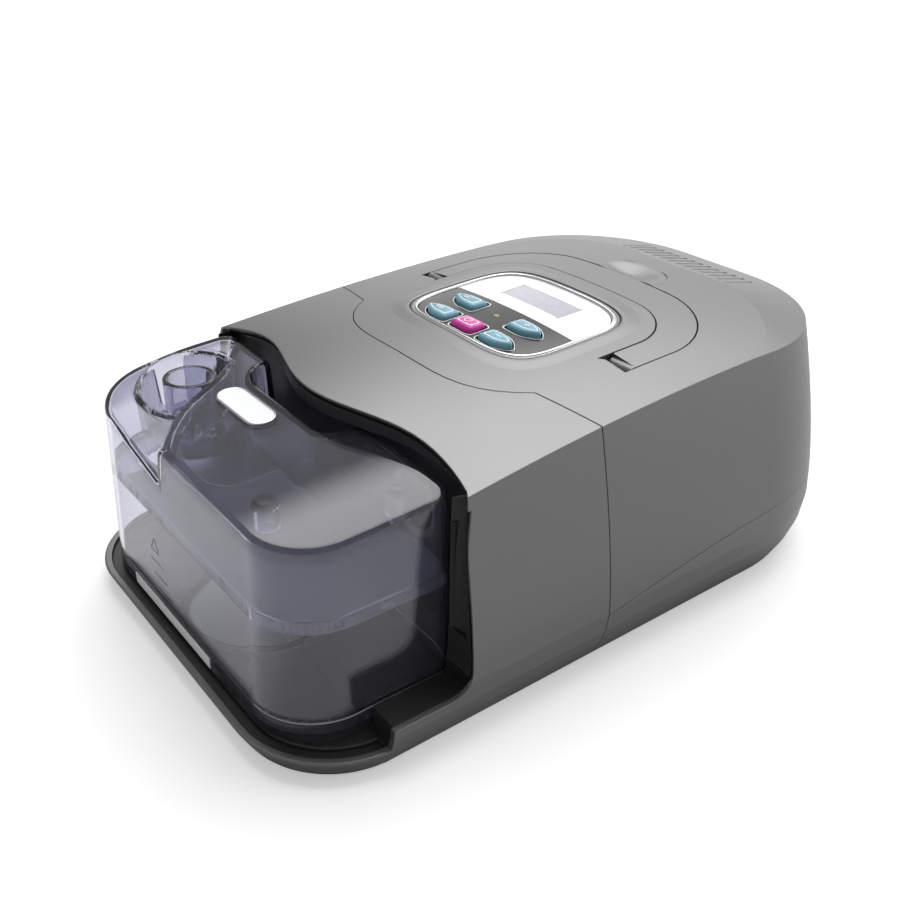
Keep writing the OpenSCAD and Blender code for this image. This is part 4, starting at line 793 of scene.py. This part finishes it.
def make_scoop_dish():
    """Soft dish in the finger scoop: depth times (1 - q squared) squared under the roof,
    with q the share of the way to its oval rim. It ends at the handle's rear edge."""
    x0, y0, half_x, half_y, depth = SCOOP
    count = 96
    angle = np.linspace(0.0, 2.0 * np.pi, count, endpoint=False)
    rows = []
    for q in np.concatenate([np.linspace(0.03, 0.9, 22), [0.95, 1.0, 1.03]]):
        x = x0 + half_x * q * np.cos(angle)
        y = np.maximum(y0 + half_y * q * np.sin(angle), HANDLE_REAR)
        share = np.clip(np.hypot((x - x0) / half_x, (y - y0) / half_y), 0.0, 1.0)
        z = np.minimum(roof_height(x, y) + 0.03, ROOF_TOP) - depth * (1.0 - share ** 2) ** 2
        rows.append(np.column_stack([x, y, z]))
    foot = rows[-1].copy()
    foot[:, 2] -= 0.4 + np.where(foot[:, 1] < HANDLE_REAR + 0.01, 3.0, 0.0)
    rows.append(foot)
    points = np.vstack(rows)
    faces = sheet(len(rows), count, True).tolist()
    faces.append(list(range(count)))
    make_piece("scoop_dish", points, [face[::-1] for face in faces], PAINT, "machine",
               "casing_grey")


KEY_LONG, KEY_WIDE = 8.3, 4.75  # half length of a pointed key, and half width of all keys
POWER_LONG = 6.6
KEY_DX, FRONT_KEY_Y, REAR_KEY_Y = 19.4, 7.4, 22.6
KEY_RISE = 2.0
KEY_ROUND = 1.6
KEY_DIP, KEY_CROWN = 0.45, 0.45
KEY_FLAT = 1.2  # the crown starts this far in from the edge


def pointed_outline(count=96):
    """Outline of a pointed key: a square end with round corners that runs to a rounded tip.
    The half width is a power curve of the way to the tip."""
    t = np.linspace(0.0, 1.0, count // 2)
    x = -KEY_LONG * np.cos(np.pi * t)
    rear = np.clip((x + KEY_LONG) / 1.8, 0.0, 1.0)
    fore = np.clip((x + 1.5) / (KEY_LONG + 1.5), 0.0, 1.0)
    square_end = 0.35 * np.sqrt(1.0 - (1.0 - rear) ** 2) + 0.65 * (rear > 0)
    half = KEY_WIDE * square_end * (1.0 - fore ** 1.9) ** 0.78
    lower = np.stack([x, -half], axis=-1)
    upper = np.stack([x[::-1], half[::-1]], axis=-1)
    return np.vstack([lower, upper[1:-1]])


def square_outline(count=96):
    """Outline of the power key: a superellipse with nearly straight sides."""
    angle = np.linspace(-np.pi, np.pi, count, endpoint=False)
    return np.stack([POWER_LONG * np.sign(np.cos(angle)) * np.abs(np.cos(angle)) ** 0.32,
                     KEY_WIDE * np.sign(np.sin(angle)) * np.abs(np.sin(angle)) ** 0.32],
                    axis=-1)


def key_ring(outline, inset):
    """The outline drawn in by inset along each axis."""
    half = np.abs(outline).max(axis=0)
    return outline * (half - inset) / half


def key_dome(inset):
    """Height of the key's top over its place at a distance in from the edge."""
    return KEY_CROWN * smooth((inset - KEY_FLAT) / 3.6) - KEY_DIP


def make_key(name, outline, place, turn, material, slot, icon):
    """A key with rounded shoulders and a low dome, and its printed white line and sign."""
    x, y = place
    top = roof_height(x, y) + KEY_RISE
    spin = np.array([[math.cos(turn), math.sin(turn)], [-math.sin(turn), math.cos(turn)]])

    def set_down(points):
        plan = points[:, :2] @ spin + np.array([x, y])
        return np.column_stack([plan, points[:, 2] + top])

    count = len(outline)
    rows = [np.column_stack([outline, np.full(count, drop)]) for drop in (-5.0, -3.4, -2.0)]
    for angle in np.radians(np.linspace(15.0, 90.0, 6)):
        inset = KEY_ROUND * (1.0 - math.cos(angle))
        level = key_dome(inset) - KEY_ROUND * (1.0 - math.sin(angle))
        rows.append(np.column_stack([key_ring(outline, inset), np.full(count, level)]))
    for inset in (2.1, 2.7, 3.4, 4.2, 5.0):
        rows.append(np.column_stack([key_ring(outline, inset),
                                     np.full(count, key_dome(inset))]))
    points = set_down(np.vstack(rows))
    faces = sheet(len(rows), count, True).tolist()
    faces.append(list(range(count))[::-1])
    faces.append([(len(rows) - 1) * count + i for i in range(count)])
    make_piece(name + "_cap", points, faces, material, name + "_body", slot, name, crease=60.0)
    inner, outer = (np.column_stack([key_ring(outline, inset),
                                     np.full(count, key_dome(inset) + 0.03)])
                    for inset in (2.35, 1.95))
    points, faces = band(inner, outer)
    marks, mark_faces = strokes(icon, 0.42, lambda a, b: 0.0 * a + 0.035)
    marks[:, :2] = marks[:, :2] @ spin.T  # signs stand upright on a turned key
    make_piece(name + "_print", set_down(np.vstack([points, marks])),
               np.vstack([faces, mark_faces + len(points)]), PRINT_WHITE, name + "_body",
               "label_light")


def make_keys():
    """The power key and the four pointed keys, with plain signs, and the lines round them."""
    pointed, square = pointed_outline(), square_outline()
    t = np.linspace(0.0, 1.0, 14)
    waves = [np.stack([c + 0.45 * np.sin(2 * np.pi * t), -1.5 + 3.0 * t], axis=-1)
             for c in (-1.5, 0.0, 1.5)]
    arc_turn = np.radians(np.linspace(125.0, 415.0, 24))
    power = [np.stack([1.7 * np.cos(arc_turn), 1.7 * np.sin(arc_turn)], axis=-1),
             np.array([[0.0, 0.4], [0.0, 2.3]])]
    ramp = [np.array([[-2.2, -1.0], [2.0, -1.0]]), np.array([[-2.2, -1.0], [2.0, 1.3]])]
    plus = [np.array([[-1.6, 0.0], [1.6, 0.0]]), np.array([[0.0, -1.6], [0.0, 1.6]])]
    minus = [np.array([[-1.7, 0.0], [1.7, 0.0]])]
    blue, magenta = (KEY_BLUE, "key_blue"), (KEY_MAGENTA, "key_magenta")
    keys = (("key_front_left", pointed, (-KEY_DX, FRONT_KEY_Y), math.pi, blue, waves),
            ("key_rear_left", pointed, (-KEY_DX, REAR_KEY_Y), math.pi, blue, ramp),
            ("key_plus", pointed, (KEY_DX, REAR_KEY_Y), 0.0, blue, plus),
            ("key_minus", pointed, (KEY_DX, FRONT_KEY_Y), 0.0, blue, minus),
            ("power_key", square, (0.0, FRONT_KEY_Y), 0.0, magenta, power))
    lines, line_faces, start = [], [], 0
    for name, outline, place, turn, finish, icon in keys:
        make_key(name, outline, place, turn, *finish, icon)
        rings = []
        for inset in (-0.95, -1.3):
            ring = key_ring(outline, inset) * (-1.0 if turn else 1.0) + np.array(place)
            rings.append(np.column_stack([ring, roof_height(ring[:, 0], ring[:, 1])
                                          - LABEL_DEPTH + 0.04]))
        points, faces = band(*rings)
        lines.append(points)
        line_faces.append(faces + start)
        start += len(points)
    make_piece("key_outlines", np.vstack(lines), np.vstack(line_faces), PRINT_WHITE, "machine",
               "label_light")


def make_display_frame():
    """Thin grey line printed round the display window."""
    corner = np.array([[-1, -1], [1, -1], [1, 1], [-1, 1]], dtype=float)
    rings = []
    for grow in (0.1, 0.55):
        ring = LCD_AT + corner * (LCD_HALF + grow)
        rings.append(np.column_stack([ring, roof_height(ring[:, 0], ring[:, 1])
                                      - LABEL_DEPTH + 0.05]))
    points, faces = band(*rings)
    make_piece("display_frame", points, faces, PRINT_GREY, "machine", "label_dark")


# Stage

FLOOR_GLOW = 0.40
SOFT_LIGHT = 0.40  # brightness of the dome away from its windows
# Each window: the way to its middle, the cosines at its edge and where it is full, its light.
WINDOWS = (((-0.314, 0.349, 0.883), 0.858, 0.914, 4.0), ((0.26, 0.96, 0.10), 0.60, 0.98, 1.6),
           ((-0.74, 0.66, 0.10), 0.90, 0.98, 1.1))


def make_stage():
    """White floor that keeps the object's shadow. The camera sees it with a little glow."""
    mesh = bpy.data.meshes.new("floor")
    far = 6.0
    mesh.from_pydata([(-far, -far, 0), (far, -far, 0), (far, far, 0), (-far, far, 0)], [],
                     [(0, 1, 2, 3)])
    floor = bpy.data.objects.new("floor", mesh)
    bpy.context.collection.objects.link(floor)
    shader = Shader("floor_white", (0.66, 0.66, 0.66), 0.9, Emission_Color=(1.0, 1.0, 1.0, 1.0))
    path = shader.node("ShaderNodeLightPath")
    seen = shader.node("ShaderNodeMath", operation="MAXIMUM")
    shader.link(path, "Is Camera Ray", seen, 0)
    shader.link(path, "Is Transmission Ray", seen, 1)
    glow = shader.node("ShaderNodeMapRange", To_Max=FLOOR_GLOW)
    shader.link(seen, 0, glow, "Value")
    shader.link(glow, "Result", shader.surface, "Emission Strength")
    floor.data.materials.append(shader.material)


def make_light():
    """Soft studio light: a dim white dome with a broad bright window high behind on the
    left, and two weak ones near the horizon. The camera sees the dome plain white."""
    world = bpy.data.worlds.new("studio")
    bpy.context.scene.world = world
    world.use_nodes = True
    nodes, links = world.node_tree.nodes, world.node_tree.links
    background = nodes["Background"]
    background.inputs["Color"].default_value = (1.0, 1.0, 1.0, 1.0)
    place = nodes.new("ShaderNodeTexCoord")
    total = None
    for way, low, high, strength in WINDOWS:
        turn = nodes.new("ShaderNodeVectorMath")
        turn.operation = "DOT_PRODUCT"
        turn.inputs[1].default_value = Vector(way).normalized()
        links.new(place.outputs["Generated"], turn.inputs[0])
        window = nodes.new("ShaderNodeMapRange")
        window.interpolation_type = "SMOOTHSTEP"
        window.inputs["From Min"].default_value = low
        window.inputs["From Max"].default_value = high
        window.inputs["To Max"].default_value = strength
        links.new(turn.outputs["Value"], window.inputs["Value"])
        both = nodes.new("ShaderNodeMath")
        both.inputs[1].default_value = SOFT_LIGHT
        links.new(window.outputs["Result"], both.inputs[0])
        if total:
            links.new(total.outputs[0], both.inputs[1])
        total = both
    path = nodes.new("ShaderNodeLightPath")
    seen = nodes.new("ShaderNodeMath")
    seen.operation = "MAXIMUM"
    links.new(path.outputs["Is Camera Ray"], seen.inputs[0])
    links.new(path.outputs["Is Transmission Ray"], seen.inputs[1])
    shown = nodes.new("ShaderNodeMapRange")
    shown.inputs["To Max"].default_value = 1.0
    links.new(seen.outputs[0], shown.inputs["Value"])
    links.new(total.outputs[0], shown.inputs["To Min"])
    links.new(shown.outputs["Result"], background.inputs["Strength"])


make_camera()
finish_nodes()
make_chamber_shell()
make_outlet_tube()
make_port_guide()
make_bosses()
make_baffle()
make_shelf()
make_badge_rim()
make_level_marks()
make_cheeks()
make_trim()
make_keys()
make_display_frame()
make_scoop_dish()
make_stage()
make_light()
bpy.context.scene.view_settings.view_transform = "Standard"
